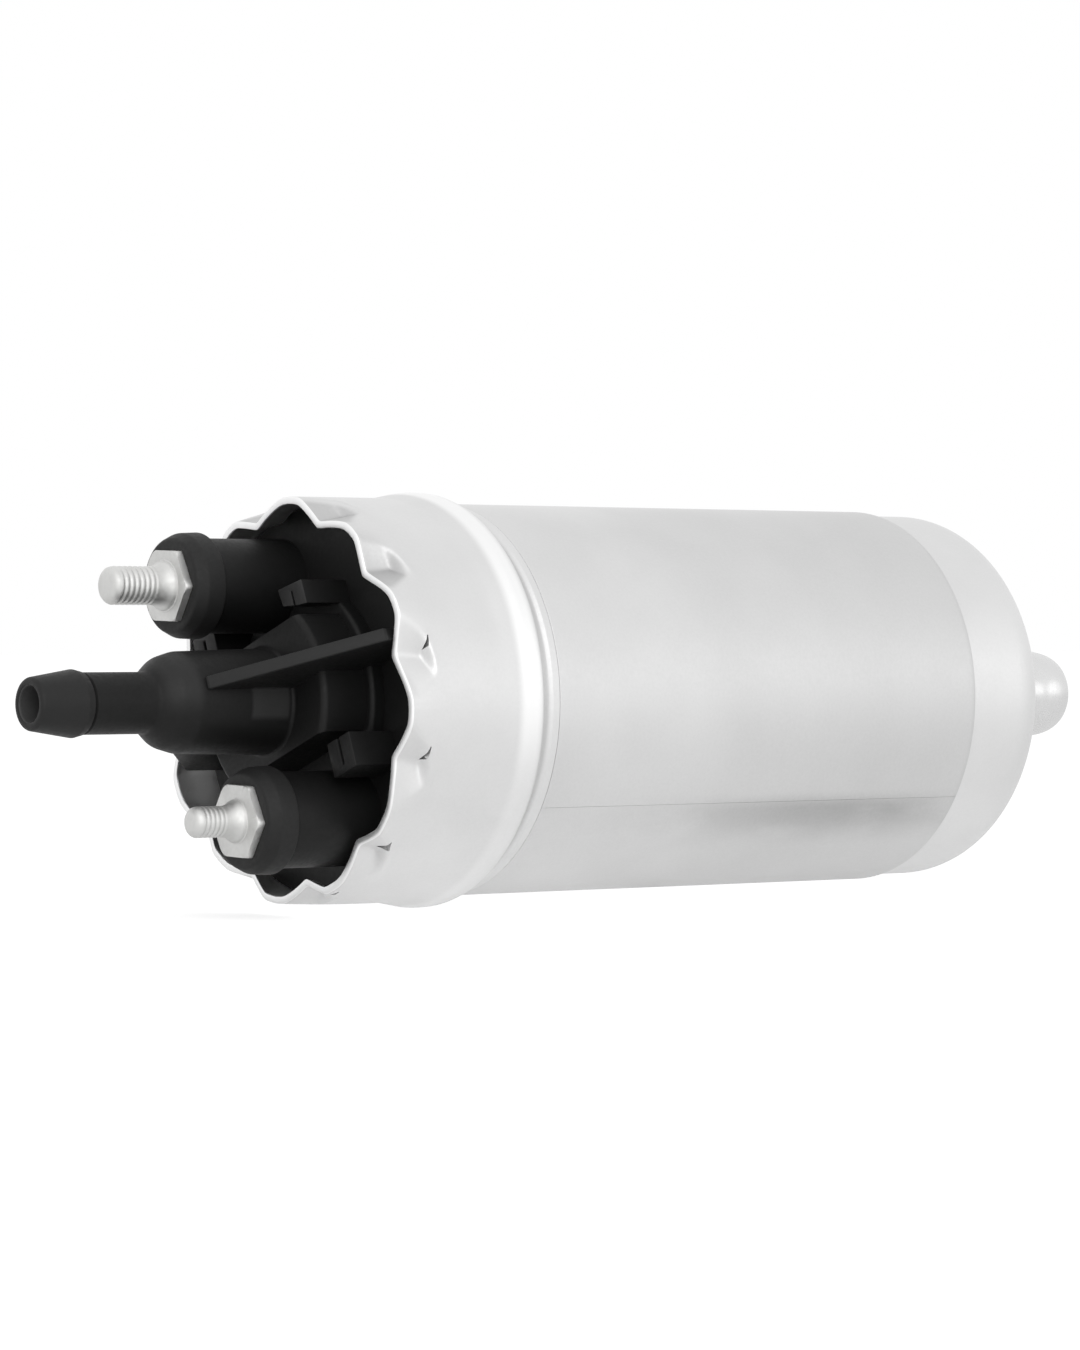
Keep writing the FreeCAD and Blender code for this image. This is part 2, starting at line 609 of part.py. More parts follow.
def outlet_cover():
    body = turned("outlet_cover", [
        ("-barb_tip", "pipe_bore"),
        ("-barb_tip", "barb_tip_radius - 0.5"),
        ("-barb_tip + 0.8", "barb_tip_radius + 0.1", "0.9"),
        ("-barb_back - barb_land", "barb_radius"),
        ("-barb_back", "barb_radius"),
        ("-barb_back + 0.4", "pipe_radius"),
        ("-pipe_root", "pipe_radius"),
        ("-house_front", "house_radius", "house_arc"),
        ("-boss_front", "house_root"),
        ("-boss_front", "boss_radius"),
        ("step_front", "boss_radius + boss_draft"),
        ("step_front", "step_radius"),
        ("flange_front", "step_radius"),
        ("flange_front", "cover_radius"),
        ("ring_station - ring_section * 1.2", "cover_radius"),
        ("ring_station - ring_section * 1.2", "ring_groove"),
        ("ring_station + ring_section * 1.2", "ring_groove"),
        ("ring_station + ring_section * 1.2", "cover_radius"),
        ("seat_station - can_wall - spigot_length / 4", "cover_radius"),
        ("seat_station - can_wall", "spigot_radius"),
        ("cover_back", "spigot_radius"),
        ("cover_back", "skirt_bore"),
        ("floor_back", "skirt_bore"),
        ("floor_back", "valve_bore + 2.5"),
        ("valve_seat_station + valve_seat_wall", "valve_bore + 0.6"),
        ("valve_seat_station", "valve_bore + 0.6"),
        ("valve_seat_station", "valve_bore"),
        ("-valve_bore_front", "valve_bore"),
        ("-valve_bore_front - 2", "pipe_bore"),
    ])
    # Flats on both sides of the boss, down to the second step
    flats = [outline_shape([(side + "boss_flat", "-step_radius"), (side + "step_radius", "-step_radius"),
                            (side + "step_radius", "step_radius"), (side + "boss_flat", "step_radius")])
             for side in ("", "-")]
    extrude(body, "boss_flats", "Pocket", "-boss_front - 0.5", "step_front", flats)
    # Gusset ribs from the housing to the flange
    ribs = new_sketch(body, "rib_sketch", "XZ_Plane")
    draw(ribs, [
        ("-rib_front", "house_radius - 0.6"),
        ("-rib_front", "house_radius + 0.3"),
        ("-rib_foot_front", "rib_foot"),
        ("flange_front + 0.5", "rib_foot"),
        ("flange_front + 0.5", "step_radius - 1"),
        ("-boss_front + 1", "boss_radius - 2"),
        ("-boss_front + 1", "house_radius - 0.6"),
    ])
    rib = body.newObject("PartDesign::Pad", "rib")
    rib.Profile = ribs
    rib.Midplane = True
    rib.setExpression("Length", bound("rib_wall"))
    repeat(body, [rib], "2", "ribs")
    # Terminal towers
    tower_turn = "terminal_angle - rib_angle"
    across, up = around("terminal_circle", "90 + " + tower_turn)
    tower = extrude(body, "tower", "Pad", "-tower_front", "floor_back - 0.5",
                    [lambda sketch: draw_circle(sketch, across, up, "tower_radius")])
    repeat(body, [tower], "2", "towers")
    # Square lugs beside the flats, each with a slit
    halves = []
    for side, height, inset in (("-", "hook_short", "hook_short_inset"), ("", "hook_long", "hook_long_inset")):
        near = side + "hook_near"
        far = side + "(hook_near + %s)" % height
        top = "step_radius - " + inset
        for high, low in ((top, top + " - (hook_width - hook_slit) / 2"),
                          (top + " - (hook_width + hook_slit) / 2", top + " - hook_width")):
            halves.append(outline_shape([(near, low), (far, low), (far, high), (near, high)]))
    hook = extrude(body, "hook", "Pad", "-hook_front", "flange_front + 0.5", halves)
    repeat(body, [hook], "2", "hooks")
    # Stud holes through the towers
    hole = extrude(body, "stud_hole", "Pocket", "-tower_front - 0.5", "floor_back + 1",
                   [lambda sketch: draw_circle(sketch, across, up, "tower_bore")])
    repeat(body, [hole], "2", "stud_holes")
    return keep(body, 90 - number("rib_angle"))


def seal(label, centre, section, station):
    """Rubber ring as a turned circle."""
    body = new_body(label)
    sketch = new_sketch(body, label + "_profile", "XZ_Plane")
    draw_circle(sketch, station, centre, section)
    turn = body.newObject("PartDesign::Revolution", label + "_turn")
    turn.Profile = sketch
    turn.ReferenceAxis = (sketch, ["H_Axis"])
    turn.Angle = 360
    return keep(body)


# Terminals: insulator cap, stud with its hexagon, and the choke behind it

TERMINALS = (("positive", "stud_large", "stud_large_tip", 0),
             ("negative", "stud_small", "stud_small_tip", 180))


def hexagon(across):
    """Hexagon with a corner outwards, centred on the terminal circle."""
    corner = "(%s) / 2 / cos(30)" % across
    return [("(%s) * sin(%d)" % (corner, 60 * index),
             "terminal_circle + (%s) * cos(%d)" % (corner, 60 * index)) for index in range(6)]


def insulator(name, spin):
    body = new_body("insulator_" + name)
    sketch = new_sketch(body, "insulator_%s_profile" % name, "XZ_Plane")
    draw(sketch, [
        ("-tower_front", "terminal_circle + tower_bore"),
        ("-insulator_front", "terminal_circle + tower_bore"),
        ("-insulator_front", "terminal_circle + insulator_nose"),
        ("-insulator_front + insulator_chamfer", "terminal_circle + insulator_radius - 0.25"),
        ("-tower_front - 0.35", "terminal_circle + insulator_radius"),
        ("-tower_front", "terminal_circle + insulator_radius - 0.4"),
    ])
    middle = number("terminal_circle")
    centre = sketch.addGeometry(Part.LineSegment(Vector(-number("insulator_front"), middle, 0),
                                                 Vector(-number("tower_front"), middle, 0)), True)
    for end, station in ((1, "-insulator_front"), (2, "-tower_front")):
        measure(sketch, "DistanceX", centre, end, station)
        measure(sketch, "DistanceY", centre, end, "terminal_circle")
    turn = body.newObject("PartDesign::Revolution", "insulator_%s_turn" % name)
    turn.Profile = sketch
    turn.ReferenceAxis = (sketch, ["Axis0"])
    turn.Angle = 360
    pocket = extrude(body, "insulator_%s_recess" % name, "Pocket", "-insulator_front - 0.5", "-hex_back",
                     [outline_shape(hexagon("hex_across + 2 * fit_gap"))])
    body.Tip = pocket
    return keep(body, 90 - number("terminal_angle") + spin)


def terminal_stud(name, radius, tip, spin):
    label = "terminal_stud_" + name
    body = new_body(label)
    collar_front = "-hex_front - stud_collar_length"
    extrude(body, label + "_hex", "Pad", "-hex_front", "-hex_back",
            [outline_shape(hexagon("hex_across"))])
    extrude(body, label + "_collar", "Pad", collar_front, "-hex_front + 0.1",
            [lambda sketch: draw_circle(sketch, "0", "terminal_circle", "stud_collar")])
    extrude(body, label + "_thread", "Pad", "-" + tip + " + stud_chamfer", collar_front + " + 0.1",
            [lambda sketch: draw_circle(sketch, "0", "terminal_circle", radius)])
    cone = new_sketch(body, label + "_cone_wide", "YZ_Plane", "-" + tip + " + stud_chamfer")
    draw_circle(cone, "0", "terminal_circle", radius)
    point = new_sketch(body, label + "_cone_narrow", "YZ_Plane", "-" + tip)
    draw_circle(point, "0", "terminal_circle", radius + " - stud_chamfer")
    chamfer = body.newObject("PartDesign::AdditiveLoft", label + "_tip")
    chamfer.Profile = cone
    chamfer.Sections = [point]
    chamfer.Ruled = True
    extrude(body, label + "_shank", "Pad", "-hex_back - 0.1", "floor_back + 1.5",
            [lambda sketch: draw_circle(sketch, "0", "terminal_circle", "stud_shank")])
    return keep(body, 90 - number("terminal_angle") + spin)


def choke(name, spin):
    """Suppression choke lying beside the stud's inner end, on the back of the cover's floor."""
    label = "choke_" + name
    rod = doc.addObject("Part::Cylinder", label)
    rod.Label = label
    rod.setExpression("Radius", bound("choke_radius"))
    rod.setExpression("Height", bound("choke_length"))
    turn = FreeCAD.Rotation(AXIS, 90 - number("terminal_angle") + spin)
    offset = Vector(number("floor_back + choke_radius"), number("-choke_length / 2"),
                    number("terminal_circle - stud_shank - choke_radius - 1"))
    lying = FreeCAD.Rotation(AXIS, -90)
    keep(rod)
    rod.Placement = FreeCAD.Placement(rod.Placement.Base + turn.multVec(offset), turn.multiply(lying))
    return rod


# Check valve

def valve_seat():
    return keep(turned("valve_seat", [
        ("valve_seat_station", "valve_seat_bore"),
        ("valve_seat_station", "valve_bore + 0.6"),
        ("valve_seat_station + valve_seat_wall", "valve_bore + 0.6"),
        ("valve_seat_station + valve_seat_wall", "valve_seat_bore"),
    ]))


def check_poppet():
    front = "poppet_front"
    return keep(turned("check_valve_poppet", [
        (front + " - poppet_stem_length", "0"),
        (front + " - poppet_stem_length", "poppet_stem"),
        (front, "poppet_stem"),
        (front, "poppet_radius"),
        (front + " + poppet_head", "poppet_radius"),
        (front + " + poppet_head", "0"),
    ]))


def spring_tube(label, start, end, radius):
    """Coil spring as the closed sleeve that its turns fill, hidden inside its bore."""
    return turned(label, [
        (start, radius + " - 2 * wire_radius"),
        (start, radius),
        (end, radius),
        (end, radius + " - 2 * wire_radius"),
    ])


# Plate stack of the roller-cell pump

def plate_holes(body, start, end, screw, name):
    """Screw, dowel and relief holes that line up through the whole stack."""
    shapes = [hole_shape(screw, "screw_circle", "screw_angle + %d" % (120 * index)) for index in range(3)]
    shapes += [hole_shape("dowel_radius", "screw_circle", "screw_angle + %d" % angle) for angle in (60, 180)]
    return extrude(body, name, "Pocket", start, end, shapes)


def port_shape(angle, spread):
    """Four-sided port beside the pump's axis."""
    low = "port_circle - port_radius"
    high = "port_circle + port_radius"
    first = "%s - %s" % (angle, spread)
    last = "%s + %s" % (angle, spread)
    return outline_shape([around(low, first), around(high, first), around(high, last), around(low, last)])


def middle_plate():
    body = turned("middle_plate", [
        ("flux_back", "bush_radius"),
        ("flux_back", "plate_radius"),
        ("cam_front", "plate_radius"),
        ("cam_front", "bush_radius"),
    ])
    plate_holes(body, "flux_back - 0.1", "cam_front + 0.1", "screw_radius", "middle_plate_holes")
    extrude(body, "middle_plate_port", "Pocket", "flux_back - 0.1", "cam_front + 0.1",
            [port_shape("0", "28")])
    extrude(body, "relief_hole", "Pocket", "flux_back - 0.1", "cam_front + 0.1",
            [hole_shape("relief_hole", "relief_circle", "90")])
    extrude(body, "relief_chamber", "Pocket", "flux_back + relief_hole_length", "cam_front + 0.1",
            [hole_shape("relief_bore", "relief_circle", "90")])
    return keep(body)


def cam_ring():
    body = turned("cam_ring", [
        ("cam_front", "cam_bore - 3"),
        ("cam_front", "plate_radius"),
        ("cam_back", "plate_radius"),
        ("cam_back", "cam_bore - 3"),
    ])
    extrude(body, "cam_bore_cut", "Pocket", "cam_front - 0.1", "cam_back + 0.1",
            [lambda sketch: draw_circle(sketch, "0", "-cam_offset", "cam_bore")])
    plate_holes(body, "cam_front - 0.1", "cam_back + 0.1", "screw_radius", "cam_ring_holes")
    extrude(body, "cam_relief", "Pocket", "cam_front - 0.1", "cam_back + 0.1",
            [hole_shape("relief_bore", "relief_circle", "90")])
    return keep(body)


def inlet_plate():
    groove = "plate_radius - 2 * plate_ring_section + plate_gap - fit_gap"
    middle = "cam_back + inlet_plate_wall / 2"
    body = turned("inlet_plate", [
        ("cam_back", "shaft_radius + 1"),
        ("cam_back", "plate_radius"),
        (middle + " - plate_ring_section * 1.2", "plate_radius"),
        (middle + " - plate_ring_section * 1.2", groove),
        (middle + " + plate_ring_section * 1.2", groove),
        (middle + " + plate_ring_section * 1.2", "plate_radius"),
        ("plate_back", "plate_radius"),
        ("plate_back", "plate_boss_radius"),
        ("can_floor", "plate_boss_radius"),
        ("can_floor", "plate_boss_radius - plate_boss_wall"),
        ("plate_back", "plate_boss_radius - plate_boss_wall"),
        ("plate_back", "shaft_radius + 1"),
    ])
    plate_holes(body, "cam_back - 0.1", "plate_back + 0.1", "screw_radius", "inlet_plate_holes")
    extrude(body, "inlet_plate_port", "Pocket", "cam_back - 0.1", "plate_back + 0.1",
            [port_shape("180", "28")])
    extrude(body, "inlet_relief", "Pocket", "cam_back - 0.1", "plate_back + 0.1",
            [hole_shape("relief_bore", "relief_circle", "90")])
    extrude(body, "relief_return", "Pocket", "plate_back", "can_floor + 0.1", [outline_shape([
        ("-relief_bore", "plate_boss_radius - 4"), ("relief_bore", "plate_boss_radius - 4"),
        ("relief_bore", "plate_boss_radius + 1"), ("-relief_bore", "plate_boss_radius + 1")])])
    return keep(body)


def plate_screws():
    members = []
    for index in range(3):
        across, up = around("screw_circle", "screw_angle + %d" % (120 * index))
        shank = cylinder_at("screw_shank_%d" % index, "screw_radius - fit_gap",
                            "flux_back + 0.5", "plate_back + 0.1", across, up)
        head = cylinder_at("screw_head_%d" % index, "screw_head", "plate_back",
                           "plate_back + screw_head_thick", across, up)
        socket = cylinder_at("screw_socket_%d" % index, "screw_radius * 0.7",
                             "plate_back + screw_head_thick / 2", "plate_back + screw_head_thick + 0.1",
                             across, up)
        members.append(cut("screw_%d" % index, fuse("screw_body_%d" % index, [shank, head]), socket))
    return keep(group("plate_screws", members))


def dowel_pins():
    members = []
    for angle in (60, 180):
        across, up = around("screw_circle", "screw_angle + %d" % angle)
        members.append(cylinder_at("dowel_%d" % angle, "dowel_radius - fit_gap / 2",
                                   "flux_back + 1", "plate_back - 1", across, up))
    return keep(group("dowel_pins", members))


def rotor_disc():
    body = turned("rotor_disc", [
        ("cam_front + running_gap", "shaft_radius + fit_gap / 2"),
        ("cam_front + running_gap", "rotor_radius"),
        ("cam_back - running_gap", "rotor_radius"),
        ("cam_back - running_gap", "shaft_radius + fit_gap / 2"),
    ])
    half = "roller_radius + running_gap"
    slot = extrude(body, "roller_slot", "Pocket", "cam_front - 0.1", "cam_back + 0.1", [outline_shape([
        (half, "roller_circle"), (half, "rotor_radius + 1"),
        ("-(%s)" % half, "rotor_radius + 1"), ("-(%s)" % half, "roller_circle")])])
    seat = extrude(body, "roller_seat", "Pocket", "cam_front - 0.1", "cam_back + 0.1",
                   [lambda sketch: draw_circle(sketch, "0", "roller_circle", half)])
    repeat(body, [slot, seat], "roller_count", "roller_slots")
    depth = "cam_front + running_gap + coupling_thick"
    extrude(body, "coupling_recess", "Pocket", "cam_front", depth,
            [lambda sketch: draw_circle(sketch, "0", "0", "coupling_radius + fit_gap")])
    extrude(body, "coupling_slot", "Pocket", "cam_front", depth,
            [outline_shape(lug_outline("fit_gap"))])
    return keep(body)


def rollers():
    for index in range(int(number("roller_count"))):
        angle = "90 + %d * 360 / roller_count" % index
        across, up = around("roller_circle", angle)
        rod = cylinder_at("roller_%d" % (index + 1), "roller_radius", "cam_front + running_gap",
                          "cam_back - running_gap", "0", "0")
        rod.Label = "roller_%d" % (index + 1)
        PIECES.append(rod)
        for axis, text in (("x", "cam_front + running_gap - origin_station"), ("y", across), ("z", up)):
            rod.setExpression("Placement.Base." + axis, bound(text))


# Relief valve

def relief_valve():
    across, up = around("relief_circle", "90")
    plug = cut("relief_valve_plug",
               cylinder_at("relief_plug_rod", "relief_bore - fit_gap / 2", "plug_front", "plate_back",
                           across, up),
               cylinder_at("relief_plug_hole", "relief_hole", "plug_front - 1", "plate_back + 1",
                           across, up))
    keep(plug)
    ball = doc.addObject("Part::Sphere", "relief_valve_ball")
    ball.Label = "relief_valve_ball"
    ball.setExpression("Radius", bound("relief_ball"))
    PIECES.append(ball)
    for axis, text in (("x", "ball_station - origin_station"), ("y", across), ("z", up)):
        ball.setExpression("Placement.Base." + axis, bound(text))
    start = "ball_station + sqrt(relief_ball ^ 2 - (relief_ball - 2 * wire_radius) ^ 2) + 0.02"
    coil = cut("relief_valve_spring",
               cylinder_at("relief_spring_outside", "relief_ball", start, "plug_front", across, up),
               cylinder_at("relief_spring_inside", "relief_ball - 2 * wire_radius", start, "plug_front + 1",
                           across, up))
    keep(coil)


# Motor

def brush_carrier():
    body = turned("brush_carrier", [
        ("cover_back", "carrier_hub_radius"),
        ("cover_back", "plate_radius"),
        ("carrier_back", "plate_radius"),
        ("carrier_back", "bush_radius"),
        ("cover_back - carrier_hub", "bush_radius"),
        ("cover_back - carrier_hub", "carrier_hub_radius"),
    ])
    ports = [extrude(body, "carrier_port", "Pocket", "cover_back - 0.1", "carrier_back + 0.1",
                     [hole_shape("port_radius", "port_circle", "90 + terminal_angle")])]
    repeat(body, ports, "6", "carrier_ports")
    return keep(body)


def bush(label, start, end):
    return keep(turned(label, [
        (start, "bush_bore"), (start, "bush_radius"), (end, "bush_radius"), (end, "bush_bore"),
    ]))


def flux_ring():
    return keep(turned("flux_ring", [
        ("carrier_back", "flux_bore"), ("carrier_back", "plate_radius"),
        ("flux_back", "plate_radius"), ("flux_back", "flux_bore"),
    ]))


def sector(inner, outer, half):
    """Outline of a ring sector that is centred on +Z."""
    return [
        ("-(%s) * sin(%s)" % (outer, half), "(%s) * cos(%s)" % (outer, half)),
        ("0", outer, outer),
        ("(%s) * sin(%s)" % (outer, half), "(%s) * cos(%s)" % (outer, half), outer),
        ("(%s) * sin(%s)" % (inner, half), "(%s) * cos(%s)" % (inner, half)),
        ("0", inner, inner),
        ("-(%s) * sin(%s)" % (inner, half), "(%s) * cos(%s)" % (inner, half), inner),
    ]


def magnet(name, spin):
    body = new_body("magnet_" + name)
    extrude(body, "magnet_%s_pad" % name, "Pad", "magnet_front", "magnet_back",
            [outline_shape(sector("magnet_inner", "magnet_outer", "magnet_angle / 2"))])
    return keep(body, 90 - number("terminal_angle") + spin)


def magnet_clips():
    """Bent sheet springs that push the magnets apart, one at each side."""
    members = []
    half = "(180 - magnet_angle) / 2 - fit_gap / flux_bore * 180 / pi"
    low = "magnet_outer - clip_wall"
    for index in range(2):
        body = new_body("magnet_clip_%d" % index)
        start = "magnet_front + 2"
        end = "magnet_back - 2"
        extrude(body, "clip_back_%d" % index, "Pad", start, end,
                [outline_shape(sector(low, "magnet_outer", half))])
        for side in ("", "-"):
            edge = "%s(magnet_outer * sin(%s) - %s)" % (side, half, "%s")
            tall = "magnet_outer * cos(%s)" % half
            extrude(body, "clip_ear_%d_%s" % (index, "left" if side else "right"), "Pad", start, end,
                    [outline_shape([(edge % "1.2", tall + " - 0.1"), (edge % "0.6", tall + " - 0.1"),
                                    (edge % "1.2", tall + " - clip_ear"),
                                    (edge % "1.8", tall + " - clip_ear")])])
        spin = 90 - number("terminal_angle") + 90 + 180 * index
        body.Placement = FreeCAD.Placement(Vector(0, 0, 0), FreeCAD.Rotation(AXIS, spin))
        members.append(body)
    return keep(group("magnet_clips", members))


def armature_shaft():
    return keep(turned("armature_shaft", [
        ("cover_back - carrier_hub - 0.5", "0"),
        ("cover_back - carrier_hub - 0.5", "shaft_radius - 0.4"),
        ("cover_back - carrier_hub - 0.1", "shaft_radius"),
        ("cam_back - 1", "shaft_radius"),
        ("cam_back - 0.6", "shaft_radius - 0.4"),
        ("cam_back - 0.6", "0"),
    ]))


def lamination_stack():
    body = turned("lamination_stack", [
        ("core_front", "shaft_radius + fit_gap"), ("core_front", "core_radius"),
        ("core_back", "core_radius"), ("core_back", "shaft_radius + fit_gap"),
    ])
    bottom = extrude(body, "slot_bottom", "Pocket", "core_front - 0.1", "core_back + 0.1",
                     [lambda sketch: draw_circle(sketch, "0", "slot_circle", "slot_radius")])
    mouth = extrude(body, "slot_opening", "Pocket", "core_front - 0.1", "core_back + 0.1", [outline_shape([
        ("-slot_mouth / 2", "slot_circle"), ("slot_mouth / 2", "slot_circle"),
        ("slot_mouth / 2", "core_radius + 1"), ("-slot_mouth / 2", "core_radius + 1")])])
    repeat(body, [bottom, mouth], "slot_count", "slots")
    return keep(body)


def armature_winding():
    """Copper end turns joined by the wires that fill the slots."""
    inner = "washer_radius + 0.4"
    body = turned("armature_winding", [
        ("core_front - winding_overhang", inner),
        ("core_front - winding_overhang", "winding_radius - 3"),
        ("core_front - winding_overhang + 3", "winding_radius", "3"),
        ("core_front", "winding_radius"),
        ("core_front", inner),
    ])
    rear = new_sketch(body, "rear_turns", "XZ_Plane")
    draw(rear, [
        ("core_back", inner),
        ("core_back", "winding_radius"),
        ("core_back + winding_overhang - 3", "winding_radius"),
        ("core_back + winding_overhang", "winding_radius - 3", "3"),
        ("core_back + winding_overhang", inner),
    ])
    fill = extrude(body, "slot_fill", "Pad", "core_front - 0.1", "core_back + 0.1",
                   [lambda sketch: draw_circle(sketch, "0", "slot_circle", "slot_radius - fit_gap")])
    repeat(body, [fill], "slot_count", "slot_fills")
    turn = body.newObject("PartDesign::Revolution", "rear_turn")
    turn.Profile = rear
    turn.ReferenceAxis = (rear, ["H_Axis"])
    turn.Angle = 360
    body.Tip = turn
    return keep(body)


def commutator():
    body = turned("commutator", [
        ("commutator_front", "shaft_radius + fit_gap"),
        ("commutator_front", "commutator_radius"),
        ("commutator_back", "commutator_radius"),
        ("commutator_back", "commutator_radius + riser_height"),
        ("commutator_back + riser_length", "commutator_radius + riser_height"),
        ("commutator_back + riser_length", "shaft_radius + fit_gap"),
    ])
    slit = extrude(body, "bar_slit_cut", "Pocket", "commutator_front - 0.1",
                   "commutator_back + riser_length + 0.1", [outline_shape([
                       ("-bar_slit / 2", "commutator_radius - 1"), ("bar_slit / 2", "commutator_radius - 1"),
                       ("bar_slit / 2", "commutator_radius + 2"), ("-bar_slit / 2", "commutator_radius + 2")])])
    repeat(body, [slit], "slot_count", "bar_slits")
    return keep(body)


def tube(label, inner, outer, start, end):
    return turned(label, [(start, inner), (start, outer), (end, outer), (end, inner)])


def thrust_washers():
    front = cut("front_washer",
                cylinder("front_washer_disc", "washer_radius", "carrier_back + 0.2",
                         "carrier_back + 0.2 + washer_thick"),
                cylinder("front_washer_hole", "shaft_radius", "carrier_back", "carrier_back + 2"))
    rear = cut("rear_washer",
               cylinder("rear_washer_disc", "washer_radius", "flux_back - 0.2 - washer_thick",
                        "flux_back - 0.2"),
               cylinder("rear_washer_hole", "shaft_radius", "flux_back - 2", "flux_back"))
    return keep(group("thrust_washers", [front, rear]))


def lug_outline(room):
    """Bar across the coupling whose ends are its two lugs."""
    half = "coupling_lug / 2 + " + room
    reach = "coupling_reach + " + room
    return [("-(%s)" % reach, "-(%s)" % half), (reach, "-(%s)" % half),
            (reach, half), ("-(%s)" % reach, half)]


def drive_coupling():
    front = "cam_front + running_gap"
    back = front + " + coupling_thick - fit_gap"
    bore = "shaft_radius + fit_gap"
    body = turned("drive_coupling", [
        (front, bore), (front, "coupling_radius"), (back, "coupling_radius"), (back, bore),
    ])
    extrude(body, "coupling_lugs", "Pad", front, back, [outline_shape(lug_outline("0"))])
    extrude(body, "coupling_bore", "Pocket", front + " - 0.1", back + " + 0.1",
            [lambda sketch: draw_circle(sketch, "0", "0", bore)])
    return keep(body)


# Brushes, their tubes and springs, drawn at +Z and turned to the terminals

def radial_piece(label, piece, spin):
    piece.Label = label
    return keep(piece, 90 - number("terminal_angle") + spin)


def brush_set(name, spin):
    half_thick = "brush_thick / 2"
    half_width = "brush_width / 2"
    room = "brush_gap"
    low = "brush_station - %s" % half_thick
    high = "brush_station + %s" % half_thick
    brush = block("brush_block_" + name, (low, "-" + half_width, "brush_face - 1"),
                  (high, half_width, "brush_back"))
    face = cylinder("brush_face_" + name, "brush_face", low + " - 1", high + " + 1")
    radial_piece("brush_" + name, cut("brush_cut_" + name, brush, face), spin)
    outer = block("tube_outer_" + name,
                  (low + " - %s - tube_wall" % room, "-%s - %s - tube_wall" % (half_width, room), "tube_start"),
                  (high + " + %s + tube_wall" % room, "%s + %s + tube_wall" % (half_width, room), "tube_end"))
    inner = block("tube_inner_" + name,
                  (low + " - %s" % room, "-%s - %s" % (half_width, room), "tube_start - 1"),
                  (high + " + %s" % room, "%s + %s" % (half_width, room), "tube_end - tube_wall"))
    radial_piece("brush_tube_" + name, cut("tube_cut_" + name, outer, inner), spin)
    coil = doc.addObject("Part::Cylinder", "spring_outer_" + name)
    core = doc.addObject("Part::Cylinder", "spring_inner_" + name)
    for rod, radius in ((coil, "brush_thick / 2 - 0.4"), (core, "brush_thick / 2 - 0.4 - 2 * wire_radius")):
        rod.setExpression("Radius", bound(radius))
        rod.setExpression("Height", bound("tube_end - tube_wall - brush_back"))
        rod.setExpression("Placement.Base.x", bound("brush_station"))
        rod.setExpression("Placement.Base.z", bound("brush_back"))
    radial_piece("brush_spring_" + name, cut("spring_cut_" + name, coil, core), spin)


def build():
    pump_can()
    outer_sleeve()
    inlet_nipple()
    inlet_strainer()
    outlet_cover()
    seal("cover_seal", "collar_bore - ring_section", "ring_section", "ring_station")
    for name, radius, tip, spin in TERMINALS:
        insulator(name, spin)
        terminal_stud(name, radius, tip, spin)
        choke(name, spin)
        magnet(name, spin)
        brush_set(name, spin)
    valve_seat()
    check_poppet()
    keep(spring_tube("check_valve_spring", "-valve_bore_front", "poppet_front", "poppet_radius"))
    middle_plate()
    cam_ring()
    inlet_plate()
    seal("plate_seal", "can_bore - plate_ring_section", "plate_ring_section",
         "cam_back + inlet_plate_wall / 2")
    plate_screws()
    dowel_pins()
    rotor_disc()
    rollers()
    relief_valve()
    brush_carrier()
    bush("front_bush", "cover_back - carrier_hub", "carrier_back")
    bush("rear_bush", "flux_back", "cam_front - 0.5")
    flux_ring()
    magnet_clips()
    armature_shaft()
    lamination_stack()
    armature_winding()
    commutator()
    thrust_washers()
    keep(tube("shaft_spacer", "shaft_radius + fit_gap", "washer_radius - 0.2", "core_back",
              "flux_back - 0.2 - washer_thick"))
    drive_coupling()


build()
doc.recompute()

for item in doc.Objects:
    if "Invalid" in item.State or "Error" in item.State:
        raise RuntimeError("%s failed: %s" % (item.Name, item.State))
for piece in PIECES:
    if piece.Shape.isNull() or not piece.Shape.isValid():
        raise RuntimeError("%s has no valid shape" % piece.Label)
for piece in PIECES:
    shape = piece.Shape
    print("%-26s solids %2d volume %9.1f" % (piece.Label, len(shape.Solids), shape.Volume))
    shape.exportStep("parts/%s.step" % piece.Label)
print("pieces", len(PIECES))
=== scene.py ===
# %% [markdown]
# # In-line electric fuel pump
# A drawn metal can holds a roller-cell pump and its motor. A black cover with the hose barb and
# the two terminals closes one end, and the can's rim is crimped over it. The CAD part gives every
# size; this script gives the seen pieces their real surfaces, and every piece its finish.

# %% Load the frame
import json
import math

import bmesh
import bpy
import numpy as np
from mathutils import Matrix, Vector


